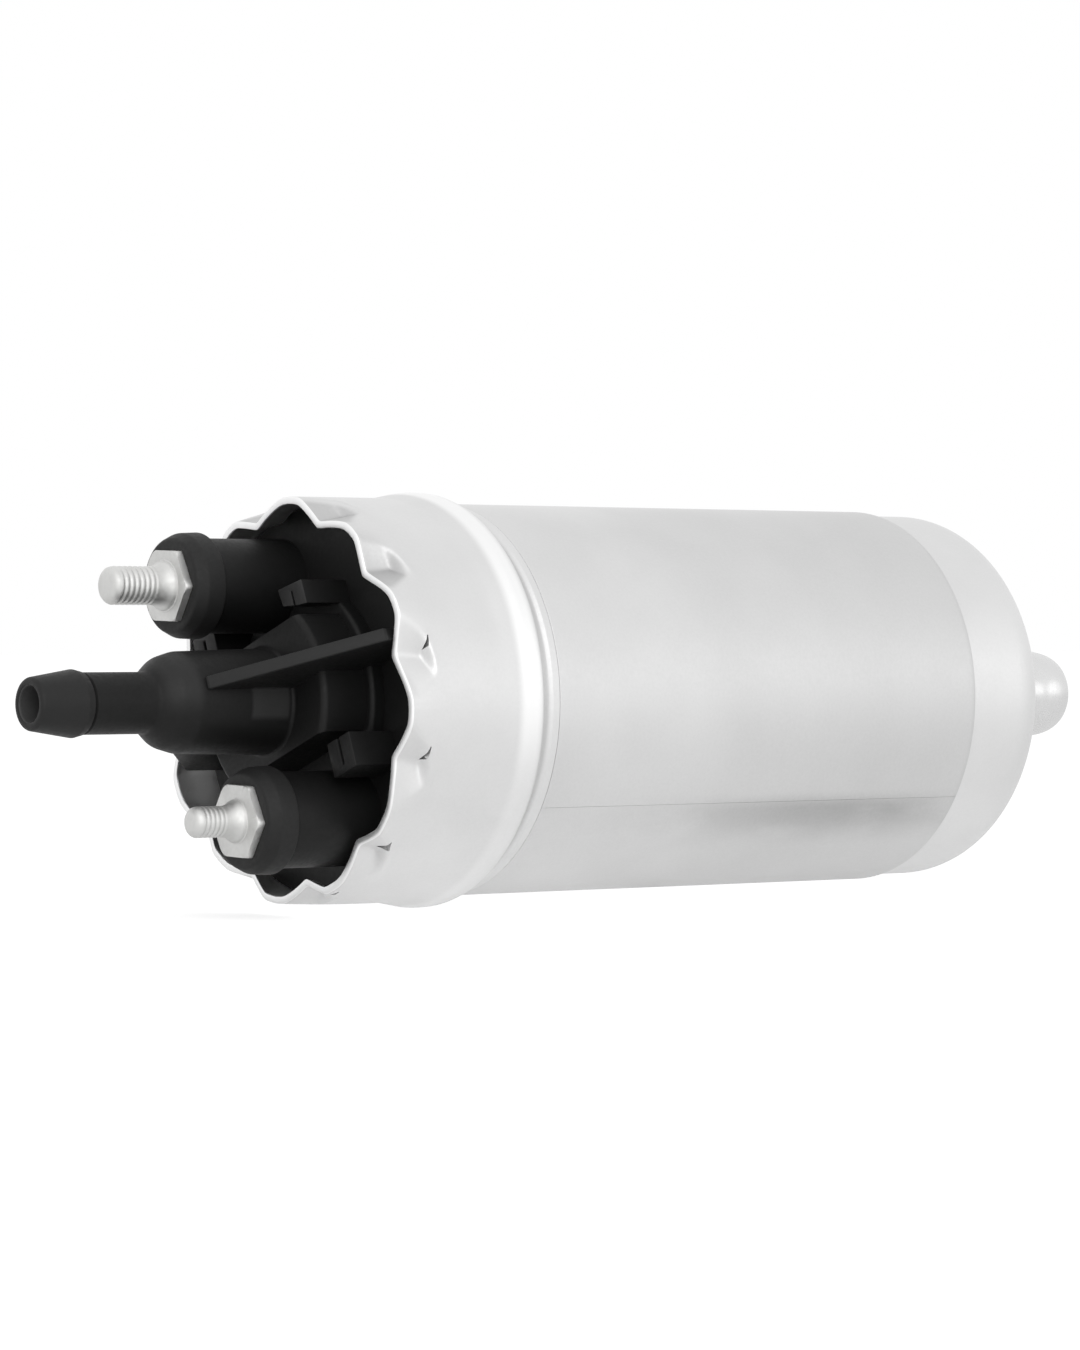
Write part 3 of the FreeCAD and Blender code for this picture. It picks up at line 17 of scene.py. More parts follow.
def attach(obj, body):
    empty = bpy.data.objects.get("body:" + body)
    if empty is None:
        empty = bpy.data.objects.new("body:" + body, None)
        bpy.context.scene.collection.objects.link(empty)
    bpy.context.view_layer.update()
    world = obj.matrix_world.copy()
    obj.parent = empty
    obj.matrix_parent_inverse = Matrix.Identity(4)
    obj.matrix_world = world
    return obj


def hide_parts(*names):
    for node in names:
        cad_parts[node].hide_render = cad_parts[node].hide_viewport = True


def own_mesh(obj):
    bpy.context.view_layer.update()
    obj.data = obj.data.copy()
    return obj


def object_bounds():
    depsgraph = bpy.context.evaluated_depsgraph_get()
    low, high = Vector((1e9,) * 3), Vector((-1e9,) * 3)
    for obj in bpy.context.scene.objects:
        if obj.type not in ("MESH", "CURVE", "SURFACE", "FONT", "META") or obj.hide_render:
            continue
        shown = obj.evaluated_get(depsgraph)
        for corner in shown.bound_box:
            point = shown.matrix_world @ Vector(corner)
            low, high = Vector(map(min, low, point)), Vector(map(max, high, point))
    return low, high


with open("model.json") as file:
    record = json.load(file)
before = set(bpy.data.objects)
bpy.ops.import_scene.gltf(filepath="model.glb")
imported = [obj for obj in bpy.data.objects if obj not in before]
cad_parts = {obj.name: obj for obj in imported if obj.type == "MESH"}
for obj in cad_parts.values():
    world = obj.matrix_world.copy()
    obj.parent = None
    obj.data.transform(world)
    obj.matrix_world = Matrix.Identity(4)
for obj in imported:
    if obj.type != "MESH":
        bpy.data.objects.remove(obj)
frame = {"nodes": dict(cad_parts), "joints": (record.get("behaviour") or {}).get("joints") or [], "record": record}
cad_low, cad_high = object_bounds()
print("CAD box in mm", [round(1000 * v, 1) for v in (cad_high - cad_low)])

# %% [markdown]
# The pump is round, so its shapes are easiest to write as a drawing of a turned part: a station
# along the axis, counted in millimetres from the crimped rim, a radius, and an angle round the
# axis. These helpers turn such numbers into points in metres in the CAD part's own frame.

# %% Stations, radii and angles
ORIGIN_STATION = 61.0
NEARLY_STRAIGHT = 1.55


def place(station, radius, angle, across=0.0, up=0.0):
    """Points in metres. Angle 0 is the near side, a right angle the top. Across and up move the
    axis."""
    station, radius, angle = np.broadcast_arrays(station, radius, angle)
    return np.stack([(station - ORIGIN_STATION) / 1000,
                     (across - radius * np.cos(angle)) / 1000,
                     (up + radius * np.sin(angle)) / 1000], axis=-1)


def rounded(corners, steps=5, closed=True):
    """Outline of (station, radius, fillet) corners, with an arc where there is a fillet."""
    outline = []
    count = len(corners)
    for index, corner in enumerate(corners):
        here = np.array(corner[:2], float)
        fillet = corner[2] if len(corner) > 2 else 0.0
        if fillet <= 0 or (not closed and index in (0, count - 1)):
            outline.append(here)
            continue
        before = np.array(corners[index - 1][:2], float) - here
        after = np.array(corners[(index + 1) % count][:2], float) - here
        reach = min(np.linalg.norm(before), np.linalg.norm(after))
        before, after = before / np.linalg.norm(before), after / np.linalg.norm(after)
        half = math.acos(max(-1.0, min(1.0, float(before @ after)))) / 2
        if half > NEARLY_STRAIGHT:
            outline.append(here)
            continue
        fillet = min(fillet, 0.48 * reach * math.tan(half))
        centre = here + (before + after) / np.linalg.norm(before + after) * fillet / math.sin(half)
        start = here + before * fillet / math.tan(half) - centre
        end = here + after * fillet / math.tan(half) - centre
        turn = math.atan2(start[0] * end[1] - start[1] * end[0], float(start @ end))
        for step in range(steps + 1):
            sine, cosine = math.sin(turn * step / steps), math.cos(turn * step / steps)
            outline.append(centre + np.array([start[0] * cosine - start[1] * sine,
                                              start[0] * sine + start[1] * cosine]))
    return np.array(outline)


def finer(outline, longest, closed=True):
    """The same outline with no edge longer than the given length."""
    points = []
    count = len(outline)
    for index in range(count if closed else count - 1):
        start, end = outline[index], outline[(index + 1) % count]
        pieces = max(1, int(math.ceil(np.linalg.norm(end - start) / longest)))
        points += [start + (end - start) * step / pieces for step in range(pieces)]
    if not closed:
        points.append(outline[-1])
    return np.array(points)


# %% [markdown]
# A turned piece is a grid of points: rows along its outline and columns round the axis. A
# ring-shaped piece closes its rows on themselves, and a rod gets a face at each end. One helper
# makes the mesh, turns its faces outwards, and shades it smoothly except at sharp corners.

# %% Mesh makers
SHARP = 32.0


def shade(piece, sharp=SHARP):
    """Smooth shading up to the sharp angle, in degrees."""
    piece.data.shade_smooth()
    piece.data.set_sharp_from_angle(angle=math.radians(sharp))


def mesh_object(name, points, faces, sharp=SHARP):
    """Object at the origin with outward faces and smooth shading."""
    mesh = bpy.data.meshes.new(name)
    mesh.from_pydata([tuple(p) for p in np.asarray(points).reshape(-1, 3)], [], faces)
    work = bmesh.new()
    work.from_mesh(mesh)
    bmesh.ops.recalc_face_normals(work, faces=work.faces)
    work.to_mesh(mesh)
    work.free()
    piece = bpy.data.objects.new(name, mesh)
    bpy.context.scene.collection.objects.link(piece)
    shade(piece, sharp)
    return piece


def grid_faces(rows, columns, ring):
    """Quads of a grid whose columns close round the axis. A rod also gets its two end faces."""
    row = np.arange(rows if ring else rows - 1)[:, None]
    column = np.arange(columns)[None, :]
    following = (column + 1) % columns
    below = (row + 1) % rows
    faces = np.stack([row * columns + column, row * columns + following,
                      below * columns + following, below * columns + column], -1)
    faces = faces.reshape(-1, 4).tolist()
    if not ring:
        faces.append(list(range(columns)))
        faces.append([(rows - 1) * columns + k for k in range(columns)])
    return faces


def turned(name, outline, columns, across=0.0, up=0.0, ring=True):
    """Piece turned from an outline of (station, radius) points."""
    angle = np.arange(columns) * 2 * math.pi / columns
    points = place(outline[:, 0][:, None], outline[:, 1][:, None], angle[None, :], across, up)
    return mesh_object(name, points, grid_faces(len(outline), columns, ring))


def triangles(piece):
    return sum(len(face.vertices) - 2 for face in piece.data.polygons)


def bake(piece):
    """Works a piece's modifiers in and leaves a plain mesh."""
    view = bpy.context.evaluated_depsgraph_get()
    shaped = bpy.data.meshes.new_from_object(piece.evaluated_get(view))
    old = piece.data
    piece.modifiers.clear()
    piece.data = shaped
    bpy.data.meshes.remove(old)
    shaped.name = piece.name


# %% [markdown]
# Geometry Nodes do the work that repeats: the crimps round the rim, the threads of the studs and
# the turns of the springs. Such a tree is mostly arithmetic on each point's place, and one Math
# node for each sum soon hides what it says. This small helper lets the script write the sums as
# formulas, and adds the nodes for them.

# %% Formulas for node trees
def fill(tree, slots, values):
    """Gives each input slot its value: a link from another number, or a plain number."""
    for slot, value in zip(slots, values):
        if isinstance(value, Number):
            tree.links.new(value.socket, slot)
        else:
            slot.default_value = float(value)


class Number:
    """One number inside a node tree. Each sign or call on it adds a Math node."""

    def __init__(self, tree, socket):
        self.tree = tree
        self.socket = socket

    def node(self, operation, values):
        node = self.tree.nodes.new("ShaderNodeMath")
        node.operation = operation
        fill(self.tree, node.inputs, values)
        return Number(self.tree, node.outputs[0])

    def math(self, operation, *others):
        return self.node(operation, (self, *others))

    def __add__(self, other):
        return self.math("ADD", other)

    def __sub__(self, other):
        return self.math("SUBTRACT", other)

    def __mul__(self, other):
        return self.math("MULTIPLY", other)

    def __truediv__(self, other):
        return self.math("DIVIDE", other)

    def __rsub__(self, other):
        return self.node("SUBTRACT", (other, self))

    def __rtruediv__(self, other):
        return self.node("DIVIDE", (other, self))

    def __neg__(self):
        return self.math("MULTIPLY", -1.0)

    def smooth_above(self, softness):
        """This number above zero and nearly zero below, with a soft bend between."""
        return (self.math("POWER", 2) + softness * softness).math("SQRT").math("ADD", self) * 0.5

    def bell(self, power):
        """1 where this number is zero, and falling off on both sides."""
        return (-self.math("POWER", power)).math("EXPONENT")

    def ramp(self, start, end):
        """0 before start, 1 after end, and a smooth rise between."""
        node = self.tree.nodes.new("ShaderNodeMapRange")
        node.interpolation_type = "SMOOTHSTEP"
        fill(self.tree, node.inputs, (self, start, end, 0.0, 1.0))
        return Number(self.tree, node.outputs[0])

    def curve(self, points, most):
        """Value of a drawn curve round the axis, from (degrees, value) points below most."""
        node = self.tree.nodes.new("ShaderNodeFloatCurve")
        line = node.mapping.curves[0]
        places = [(degrees / 360 + 0.5, value / most / 2 + 0.5) for degrees, value in points]
        line.points[0].location, line.points[1].location = places[0], places[-1]
        for spot in places[1:-1]:
            line.points.new(*spot)
        node.mapping.update()
        self.tree.links.new((self / (2 * math.pi) + 0.5).socket, node.inputs["Value"])
        return (Number(self.tree, node.outputs[0]) - 0.5) * (2 * most)


# %% [markdown]
# The three trees of this script share one frame. A piece comes in with its finish and its sizes,
# every point gets a new place from the formulas, and the result leaves as real mesh with the
# finish on it. The sizes are inputs with names, so each can be tried by hand in the modifier.

# %% The frame of a tree
class Tree:
    """Geometry Nodes tree with named size inputs that moves points and gives them a material."""

    def __init__(self, name, sizes):
        self.group = bpy.data.node_groups.new(name, "GeometryNodeTree")
        face = self.group.interface
        self.sockets = {}
        for title in ("Geometry", "Material", *sizes):
            kind = title if title in ("Geometry", "Material") else "Float"
            self.sockets[title] = face.new_socket(title, in_out="INPUT",
                                                  socket_type="NodeSocket" + kind)
        face.new_socket("Geometry", in_out="OUTPUT", socket_type="NodeSocketGeometry")
        self.entry = self.group.nodes.new("NodeGroupInput")
        where = self.group.nodes.new("GeometryNodeInputPosition")
        split = self.group.nodes.new("ShaderNodeSeparateXYZ")
        self.group.links.new(where.outputs[0], split.inputs[0])
        self.x, self.y, self.z = (Number(self.group, out) for out in split.outputs)

    def size(self, title):
        return Number(self.group, self.entry.outputs[title])

    def finish(self, x, y, z):
        """Moves every point to x, y, z, and ends the tree."""
        nodes, links = self.group.nodes, self.group.links
        join = nodes.new("ShaderNodeCombineXYZ")
        for slot, value in zip(join.inputs, (x, y, z)):
            links.new(value.socket, slot)
        move = nodes.new("GeometryNodeSetPosition")
        real = nodes.new("GeometryNodeRealizeInstances")
        paint = nodes.new("GeometryNodeSetMaterial")
        leave = nodes.new("NodeGroupOutput")
        links.new(self.entry.outputs["Geometry"], move.inputs["Geometry"])
        links.new(join.outputs[0], move.inputs["Position"])
        links.new(move.outputs[0], real.inputs[0])
        links.new(real.outputs[0], paint.inputs["Geometry"])
        links.new(self.entry.outputs["Material"], paint.inputs["Material"])
        links.new(paint.outputs[0], leave.inputs[0])

    def apply(self, piece, material, sizes):
        """Runs the tree on a piece with these sizes, and leaves a plain mesh."""
        modifier = piece.modifiers.new("shape", "NODES")
        modifier.node_group = self.group
        modifier[self.sockets["Material"].identifier] = material
        for title, value in sizes.items():
            modifier[self.sockets[title].identifier] = float(value)
        bake(piece)


# %% [markdown]
# Every finish is made from noise on the object's own coordinates, so it stays put when the part
# is turned. A soft noise clouds the base colour, and a fine one changes the roughness and makes
# a faint bump. Metal and moulded plastic differ in how they answer light. The sizes are in
# metres: noise of scale 300 changes about every 3 millimetres.

# %% Finishes
def noise(tree, source, scale, detail, stretch=(1, 1, 1)):
    """Noise on Object coordinates, stretched along the axes."""
    turn = tree.nodes.new("ShaderNodeMapping")
    turn.inputs["Scale"].default_value = stretch
    tree.links.new(source, turn.inputs["Vector"])
    cloud = tree.nodes.new("ShaderNodeTexNoise")
    cloud.inputs["Scale"].default_value = scale
    cloud.inputs["Detail"].default_value = detail
    tree.links.new(turn.outputs[0], cloud.inputs["Vector"])
    return cloud.outputs["Fac"]


def span(tree, source, low, high):
    """Stretches a noise, which mostly stays between 0.3 and 0.7, to low..high."""
    fit = tree.nodes.new("ShaderNodeMapRange")
    tree.links.new(source, fit.inputs[0])
    for slot, value in zip(fit.inputs[1:5], (0.3, 0.7, low, high)):
        slot.default_value = value
    return fit.outputs[0]


def mix_colour(tree, share, first, second):
    """Mixes two colours by a socket's share. Each is a socket, three numbers, or one for a grey."""
    mix = tree.nodes.new("ShaderNodeMix")
    mix.data_type = "RGBA"
    tree.links.new(share, mix.inputs[0])
    for slot, value in ((6, first), (7, second)):
        if isinstance(value, bpy.types.NodeSocket):
            tree.links.new(value, mix.inputs[slot])
        else:
            red, green, blue = value if isinstance(value, tuple) else (value, value, value)
            mix.inputs[slot].default_value = (red, green, blue, 1.0)
    return mix.outputs[2]


# %% [markdown]
# Sheet, bar and moulding need the same few nodes, so one helper lays them out, and two short ones
# say what sets metal apart from plastic, rubber or carbon.

# %% Metal and moulded stuff
def clouded(name, light, dark, rough, clouds, grain, bump):
    """Finish with clouds in its colour, and one fine noise for its roughness and its bump. Grain
    is that noise's scale, detail and stretch, and bump its strength and distance."""
    finish = bpy.data.materials.new(name)
    finish.use_nodes = True
    tree = finish.node_tree
    tree.nodes.clear()
    out = tree.nodes.new("ShaderNodeOutputMaterial")
    shader = tree.nodes.new("ShaderNodeBsdfPrincipled")
    tree.links.new(shader.outputs[0], out.inputs[0])
    where = tree.nodes.new("ShaderNodeTexCoord").outputs["Object"]
    cloud = span(tree, noise(tree, where, clouds, 4.0), 0.0, 1.0)
    tree.links.new(mix_colour(tree, cloud, dark, light), shader.inputs["Base Color"])
    fine = noise(tree, where, *grain)
    tree.links.new(span(tree, fine, *rough), shader.inputs["Roughness"])
    relief = tree.nodes.new("ShaderNodeBump")
    relief.inputs["Strength"].default_value, relief.inputs["Distance"].default_value = bump
    tree.links.new(fine, relief.inputs["Height"])
    tree.links.new(relief.outputs[0], shader.inputs["Normal"])
    return finish, shader


def metal(name, light, dark, rough, clouds=60.0, grain=2500.0, stretch=(1, 1, 1), bump=0.06):
    """Satin metal."""
    finish, shader = clouded(name, light, dark, rough, clouds, (grain, 2.0, stretch),
                             (bump, 0.00002))
    shader.inputs["Metallic"].default_value = 1.0
    return finish


def moulded(name, light, dark, rough, grain=1800.0, bump=0.12, gloss=0.3):
    """Moulded plastic, and other dull stuff that isn't metal."""
    finish, shader = clouded(name, light, dark, rough, 90.0, (grain, 3.0), (bump, 0.00003))
    shader.inputs["Specular IOR Level"].default_value = gloss
    return finish


# %% [markdown]
# Some plastic faces get a paler colour that stands in for light: a painted highlight on the
# lugs' fronts, on the sloping edge of the near rib and on the barb, and painted light on the lit
# wall inside the barb's mouth. A mask on the object's own coordinates says where they are: every
# limit is a direction and the range of the distance along it.

# %% Painted highlights on the cover
ALONG_AXIS = (1, 0, 0)


def tree_and_place(finish):
    """The finish's node tree, and its socket of the object's own coordinates."""
    tree = finish.node_tree
    return tree, next(node for node in tree.nodes if node.type == "TEX_COORD").outputs["Object"]


def mask(finish, limits):
    """1 where all limits hold. Both signs of a distance count, and no direction is the radius."""
    tree, where = tree_and_place(finish)
    share = None
    for direction, low, high in limits:
        along = tree.nodes.new("ShaderNodeVectorMath")
        along.operation = "DOT_PRODUCT" if direction else "LENGTH"
        tree.links.new(where, along.inputs[0])
        if direction:
            along.inputs[1].default_value = direction
        else:
            flat = tree.nodes.new("ShaderNodeVectorMath")
            flat.operation = "MULTIPLY"
            flat.inputs[1].default_value = (0, 1, 1)
            tree.links.new(where, flat.inputs[0])
            tree.links.new(flat.outputs[0], along.inputs[0])
        size = Number(tree, along.outputs["Value"]).math("ABSOLUTE")
        held = size.math("COMPARE", (low + high) / 2, (high - low) / 2)
        share = held if share is None else share * held
    return share


def recolour(finish, share, grey):
    """Mixes a grey into a finish, by a share between 0 and 1."""
    tree = finish.node_tree
    shader = next(node for node in tree.nodes if node.type == "BSDF_PRINCIPLED")
    colour_in = shader.inputs["Base Color"]
    first = colour_in.links[0].from_socket
    tree.links.new(mix_colour(tree, share.socket, first, grey), colour_in)


# %% [markdown]
# These are the finishes of the outside. The can and the sleeve are satin sheet metal, which
# hardly shows any colour of its own: its clouds are faint, and the light does the rest.

# %% Finishes of the seen pieces
CAN_METAL = metal("can_metal", 0.76, 0.71, (0.47, 0.57))
SLEEVE_METAL = metal("sleeve_metal", 0.73, 0.67, (0.48, 0.58), clouds=45.0)
NIPPLE_METAL = metal("nipple_metal", 0.74, 0.68, (0.26, 0.36))
STUD_METAL = metal("stud_metal", (0.72, 0.72, 0.71), (0.64, 0.64, 0.63), (0.50, 0.62),
                   clouds=300.0, grain=1800.0, bump=0.3)
COVER_PLASTIC = moulded("cover_plastic", 0.012, 0.008, (0.46, 0.58), gloss=0.24)
CAP_PLASTIC = moulded("insulator_plastic", 0.024, 0.017, (0.55, 0.66))

RIB_ANGLE = math.radians(21.0)
out_along_rib = (0.0, -math.cos(RIB_ANGLE), math.sin(RIB_ANGLE))
beside_rib = (0.0, math.sin(RIB_ANGLE), math.cos(RIB_ANGLE))
to_short_lug = tuple(0.62 * a + 0.78 * b for a, b in zip(out_along_rib, beside_rib))
off_rib_slope = (-0.728, *(0.685 * a for a in out_along_rib[1:]))
LUG_FRONT = (ALONG_AXIS, 0.06335, 0.0637)
rib_slope = [(off_rib_slope, 0.0612, 0.062), (beside_rib, 0.0, 0.00105),
             (out_along_rib, 0.0068, 0.0245)]
barb = [(ALONG_AXIS, 0.09335, 0.1008)]
barb_mouth = [(ALONG_AXIS, 0.0955, 0.1008), (None, 0.0, 0.00242)]
short_lug = [LUG_FRONT, (out_along_rib, 0.0061, 0.0118), (beside_rib, 0.0091, 0.0133),
             (to_short_lug, 0.0095, 0.0185)]
long_lug = [LUG_FRONT, (out_along_rib, 0.0092, 0.0145), (beside_rib, 0.0091, 0.0141),
            (to_short_lug, 0.0, 0.0085)]
# Painted highlights and painted light: paler greys on the rib's slope, the barb, its mouth and the lugs' fronts.
for limits, grey in ((rib_slope, 0.030), (barb, 0.024), (barb_mouth, 0.085), (short_lug, 0.050),
                     (long_lug, 0.022)):
    recolour(COVER_PLASTIC, mask(COVER_PLASTIC, limits), grey)

# %% [markdown]
# Colour stands in for light and shade here. The bead gets a painted highlight, strongest on its
# upper half, the groove behind it painted shade, the upper dents of the rim painted shade that
# tones down a lamp's glint, and the rim's sheared edge a painted highlight. The cover gets a
# painted highlight on the shoulder of its valve housing and on a place beside the near rib.

# %% Painted highlights and shade
def coordinates(finish):
    """Numbers for the object's own x, y and z in the finish's node tree."""
    tree, where = tree_and_place(finish)
    split = tree.nodes.new("ShaderNodeSeparateXYZ")
    tree.links.new(where, split.inputs[0])
    return [Number(tree, out) for out in split.outputs]


def between(along, low, high, soft):
    """1 between low and high, with soft ends."""
    return along.ramp(low - soft, low + soft) * (1.0 - along.ramp(high - soft, high + soft))


# Painted highlight on the bead, strongest on its upper half, and on the rim's sheared edge; painted shade in the
# groove behind the bead and in the upper dents of the rim.
x, y, z = coordinates(CAN_METAL)
painted_bead_highlight = between(x, -0.0436, -0.0406, 0.0007) * (z.ramp(-0.012, -0.002) * 0.7 + 0.3)
groove = between(x, -0.0401, -0.0382, 0.0004)
reach = (y * y + z * z).math("SQRT")
dented = (1.0 - reach.ramp(0.0258, 0.0264)) * (1.0 - x.ramp(-0.0575, -0.0565))
painted_rim_edge_highlight = mask(CAN_METAL, [(ALONG_AXIS, 0.0608, 0.0612)])
for share, grey in ((painted_bead_highlight, 0.91), (groove * 0.6, 0.45), (dented * z.ramp(0.012, 0.016) * 0.7, 0.50),
                    (painted_rim_edge_highlight, 0.93)):
    recolour(CAN_METAL, share, grey)

x, y, z = coordinates(COVER_PLASTIC)
# Painted highlight on the upper half of the valve housing's shoulder, and another on the housing beside the near
# rib.
recolour(COVER_PLASTIC, between(x, -0.0827, -0.0787, 0.0008) * z.ramp(-0.002, 0.002), 0.030)
beside = between(z.math("ARCTAN2", -y), -0.30, 0.32, 0.08)
on_housing = (y * y + z * z).math("SQRT").math("LESS_THAN", 0.0073)
recolour(COVER_PLASTIC, between(x, -0.0712, -0.0656, 0.0003) * beside * on_housing, 0.041)
print("nodes of the cover's finish", len(COVER_PLASTIC.node_tree.nodes))

# %% [markdown]
# The sleeve is painted darker towards the inlet: painted shade that tones down the lamp's highlight
# there. Below its seam a band of painted shade stands for the sheet's darker reflection: it starts
# sharply at the seam, fades out below it, and is broken up by noise.

# %% Painted shade below the seam
SEAM_ANGLE = math.radians(-32.0)
tree, where = tree_and_place(SLEEVE_METAL)
x, y, z = coordinates(SLEEVE_METAL)
below = SEAM_ANGLE - z.math("ARCTAN2", -y)
growing = (x.ramp(-0.03, 0.018) * 0.9 + 0.1) * (1.0 - x.ramp(0.024, 0.037) * 0.6)
painted_seam_shade = below.ramp(-0.07, 0.05) * (1.0 - below.ramp(0.05, 0.36)) * growing
cloud = Number(tree, noise(tree, where, 110.0, 4.0, (0.5, 1, 1)))
# Painted shade: darker towards the inlet, and a darker band under the seam.
recolour(SLEEVE_METAL, x.ramp(-0.03, 0.03) * 0.35, 0.54)
recolour(SLEEVE_METAL, painted_seam_shade * cloud.ramp(0.25, 0.62) * 0.66, 0.36)
print("nodes of the sleeve's finish", len(tree.nodes))

# %% [markdown]
# The pieces inside the can keep their CAD shapes. Each gets the finish of its real material,
# taken from the record's material slots. The CAD file already uses the slots' names, so Blender
# numbers the new finishes, and the number is cut off to find them.

# %% Finishes of the inner pieces
SLOT_FINISHES = {finish.name.split(".")[0]: finish for finish in (
    moulded("seal_rubber", 0.02, 0.012, (0.6, 0.7)),
    moulded("gauze", (0.62, 0.58, 0.47), (0.50, 0.47, 0.38), (0.6, 0.8), grain=3000.0, bump=0.5),
    metal("plate_steel", 0.50, 0.42, (0.3, 0.42)),
    metal("hard_steel", 0.66, 0.60, (0.12, 0.2)),
    metal("bronze", (0.58, 0.38, 0.19), (0.48, 0.31, 0.16), (0.4, 0.55), grain=1200.0),
    metal("brass", (0.74, 0.55, 0.25), (0.64, 0.47, 0.21), (0.28, 0.38)),
    metal("spring_steel", (0.56, 0.56, 0.57), (0.46, 0.46, 0.47), (0.28, 0.4)),
    moulded("magnet", (0.07, 0.07, 0.075), (0.045, 0.045, 0.05), (0.6, 0.75)),
    metal("core_steel", (0.28, 0.28, 0.29), (0.20, 0.20, 0.21), (0.45, 0.6), grain=900.0,
          stretch=(6, 1, 1)),
    metal("copper", (0.68, 0.27, 0.10), (0.52, 0.19, 0.07), (0.3, 0.42), grain=1500.0,
          stretch=(1, 5, 5), bump=0.3),
    moulded("carbon", 0.05, 0.03, (0.5, 0.65)),
    moulded("carrier_plastic", (0.16, 0.08, 0.035), (0.11, 0.055, 0.025), (0.45, 0.6)),
    moulded("valve_plastic", (0.52, 0.47, 0.36), (0.44, 0.39, 0.30), (0.35, 0.45)),
    STUD_METAL, CAN_METAL, SLEEVE_METAL, NIPPLE_METAL, COVER_PLASTIC, CAP_PLASTIC)}
for part in frame["record"]["subparts"]:
    node = frame["nodes"][part["node"]]
    node.data.materials.clear()
    node.data.materials.append(SLOT_FINISHES[part["material_slot"]])
print("finishes", len(bpy.data.materials), "for", len(frame["nodes"]), "nodes")


def dress(piece, node, finish):
    """The finished piece stands for its CAD node, on the housing."""
    if not piece.data.materials:
        piece.data.materials.append(finish)
    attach(piece, "housing")
    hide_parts(node)
    print(piece.name, "triangles", triangles(piece))


# %% [markdown]
# ## The can and its crimped rim
# The can is deep-drawn from one sheet: a wide mouth, a rolled bead that stops the clamp, a small
# groove and lip, and a rounded shoulder round the inlet. After the cover goes in, a press pushes
# twelve wedges into the rim. Each leaves a V-shaped dent with a steep back wall, and the rim
# becomes a wave. The plain can is a turned mesh with narrow rows near the rim. A Geometry Nodes
# tree then presses the dents, because all twelve follow one rule, and its inputs are the sizes of
# the press tool.

# %% The plain can
CRIMPS = 12
COLUMNS_PER_CRIMP = 48
COLLAR = 26.6
CAN = 25.45
WALL = 1.0
SHOULDER = 106.2
SHOULDER_ROUND = 7.5
END = 113.7
rim_rows = [0.45, 0.8, 1.15, 1.5, 1.85, 2.1, 2.35, 2.6, 2.8, 3.0, 3.18, 3.36, 3.54, 3.72, 3.9, 4.08,
            4.26, 4.45, 4.65, 4.9, 5.2, 5.6, 6.2, 7.0, 8.2, 9.7, 11.2, 12.6]
outside = [(0.0, COLLAR - 0.22), (0.07, COLLAR - 0.07), (0.22, COLLAR)]
outside += [(s, COLLAR) for s in rim_rows]
body = rounded([(12.6, COLLAR), (14.6, COLLAR, 9.0), (18.9, COLLAR + 0.83, 3.0),
                (20.9, COLLAR + 0.80, 1.1), (21.8, 25.72, 0.6), (22.8, 25.72, 0.5),
                (23.4, 26.02, 0.3), (24.4, 26.02, 0.05), (24.45, 25.9), (24.5, CAN), (60.0, CAN),
                (SHOULDER, CAN)], steps=6, closed=False)[1:]
shoulder = [(SHOULDER + SHOULDER_ROUND * math.sin(a), CAN - SHOULDER_ROUND * (1 - math.cos(a)))
            for a in np.linspace(0, math.pi / 2, 21)[1:]]
end_face = [(END, 14.0), (END, 9.0), (END, 6.2), (113.65, 6.0), (113.5, 5.9), (112.7, 5.9)]
inner_round = SHOULDER_ROUND - WALL
inside = [(112.7, 12.0)]
inside += [(SHOULDER + inner_round * math.sin(a), CAN - WALL - inner_round * (1 - math.cos(a)))
           for a in np.linspace(math.pi / 2, 0, 9)]
inside += [(60.0, CAN - WALL), (19.5, CAN - WALL)]
inside += [(s, COLLAR - WALL) for s in (18.5, 12.0, 8.0, 6.0, 5.0, 4.7, 4.5, 4.3, 4.1, 3.9, 3.5,
                                        2.8, 2.0, 1.0, 0.4, 0.15)]
inside += [(0.04, COLLAR - WALL + 0.08), (0.0, COLLAR - WALL + 0.25)]
can_outline = np.array(outside + [tuple(p) for p in body] + shoulder + end_face + inside)
can = turned("can_shell", can_outline, CRIMPS * COLUMNS_PER_CRIMP)
print("can rows", len(can_outline), "triangles", triangles(can))

# %% [markdown]
# The rule of one dent: across the dent the depth falls off like a V with a soft crease, and along
# the axis the V narrows from the rim to the back wall, where it ends in a step. Metal pushed back
# by the punch stands up as a low ridge behind the step. A press never closes quite evenly, so two
# curves round the mouth say how far each dent sits from its even place, and how far the rim leans
# in or out.

# %% The crimp tree
STEP_START, STEP_END, INNER_STEP_BACK = -0.0006, 0.0004, 0.0006
RIDGE_BACK, RIDGE_WIDTH, RIDGE_REACH = 0.0006, 0.0005, 0.0028
LEAN_REACH = 0.005
crimp = Tree("press_crimps", ["Crimps", "First angle", "Unevenness", "Length", "Slant",
                              "Rim depth", "Wall depth", "Rim half width", "Wall half width",
                              "Wall shift", "Crease", "Ridge", "Lean"])
station = crimp.x + ORIGIN_STATION / 1000
radius = (crimp.y * crimp.y + crimp.z * crimp.z).math("SQRT")
angle = crimp.z.math("ARCTAN2", -crimp.y)
pitch = 2 * math.pi / crimp.size("Crimps")
early = angle.curve([(-180, 1.3), (-167, 2.0), (-138.5, 3.5), (-110, 5.0), (-79.8, 4.8),
                     (-49.2, 4.2), (-16.5, 1.5), (14.8, 0.2), (44.8, 0.2), (73.9, 1.1),
                     (107.5, -2.5), (136, -1.0), (164.5, 0.5), (180, 1.3)], 8.0)
even = angle + early * crimp.size("Unevenness")
turns = (even - crimp.size("First angle")) / pitch
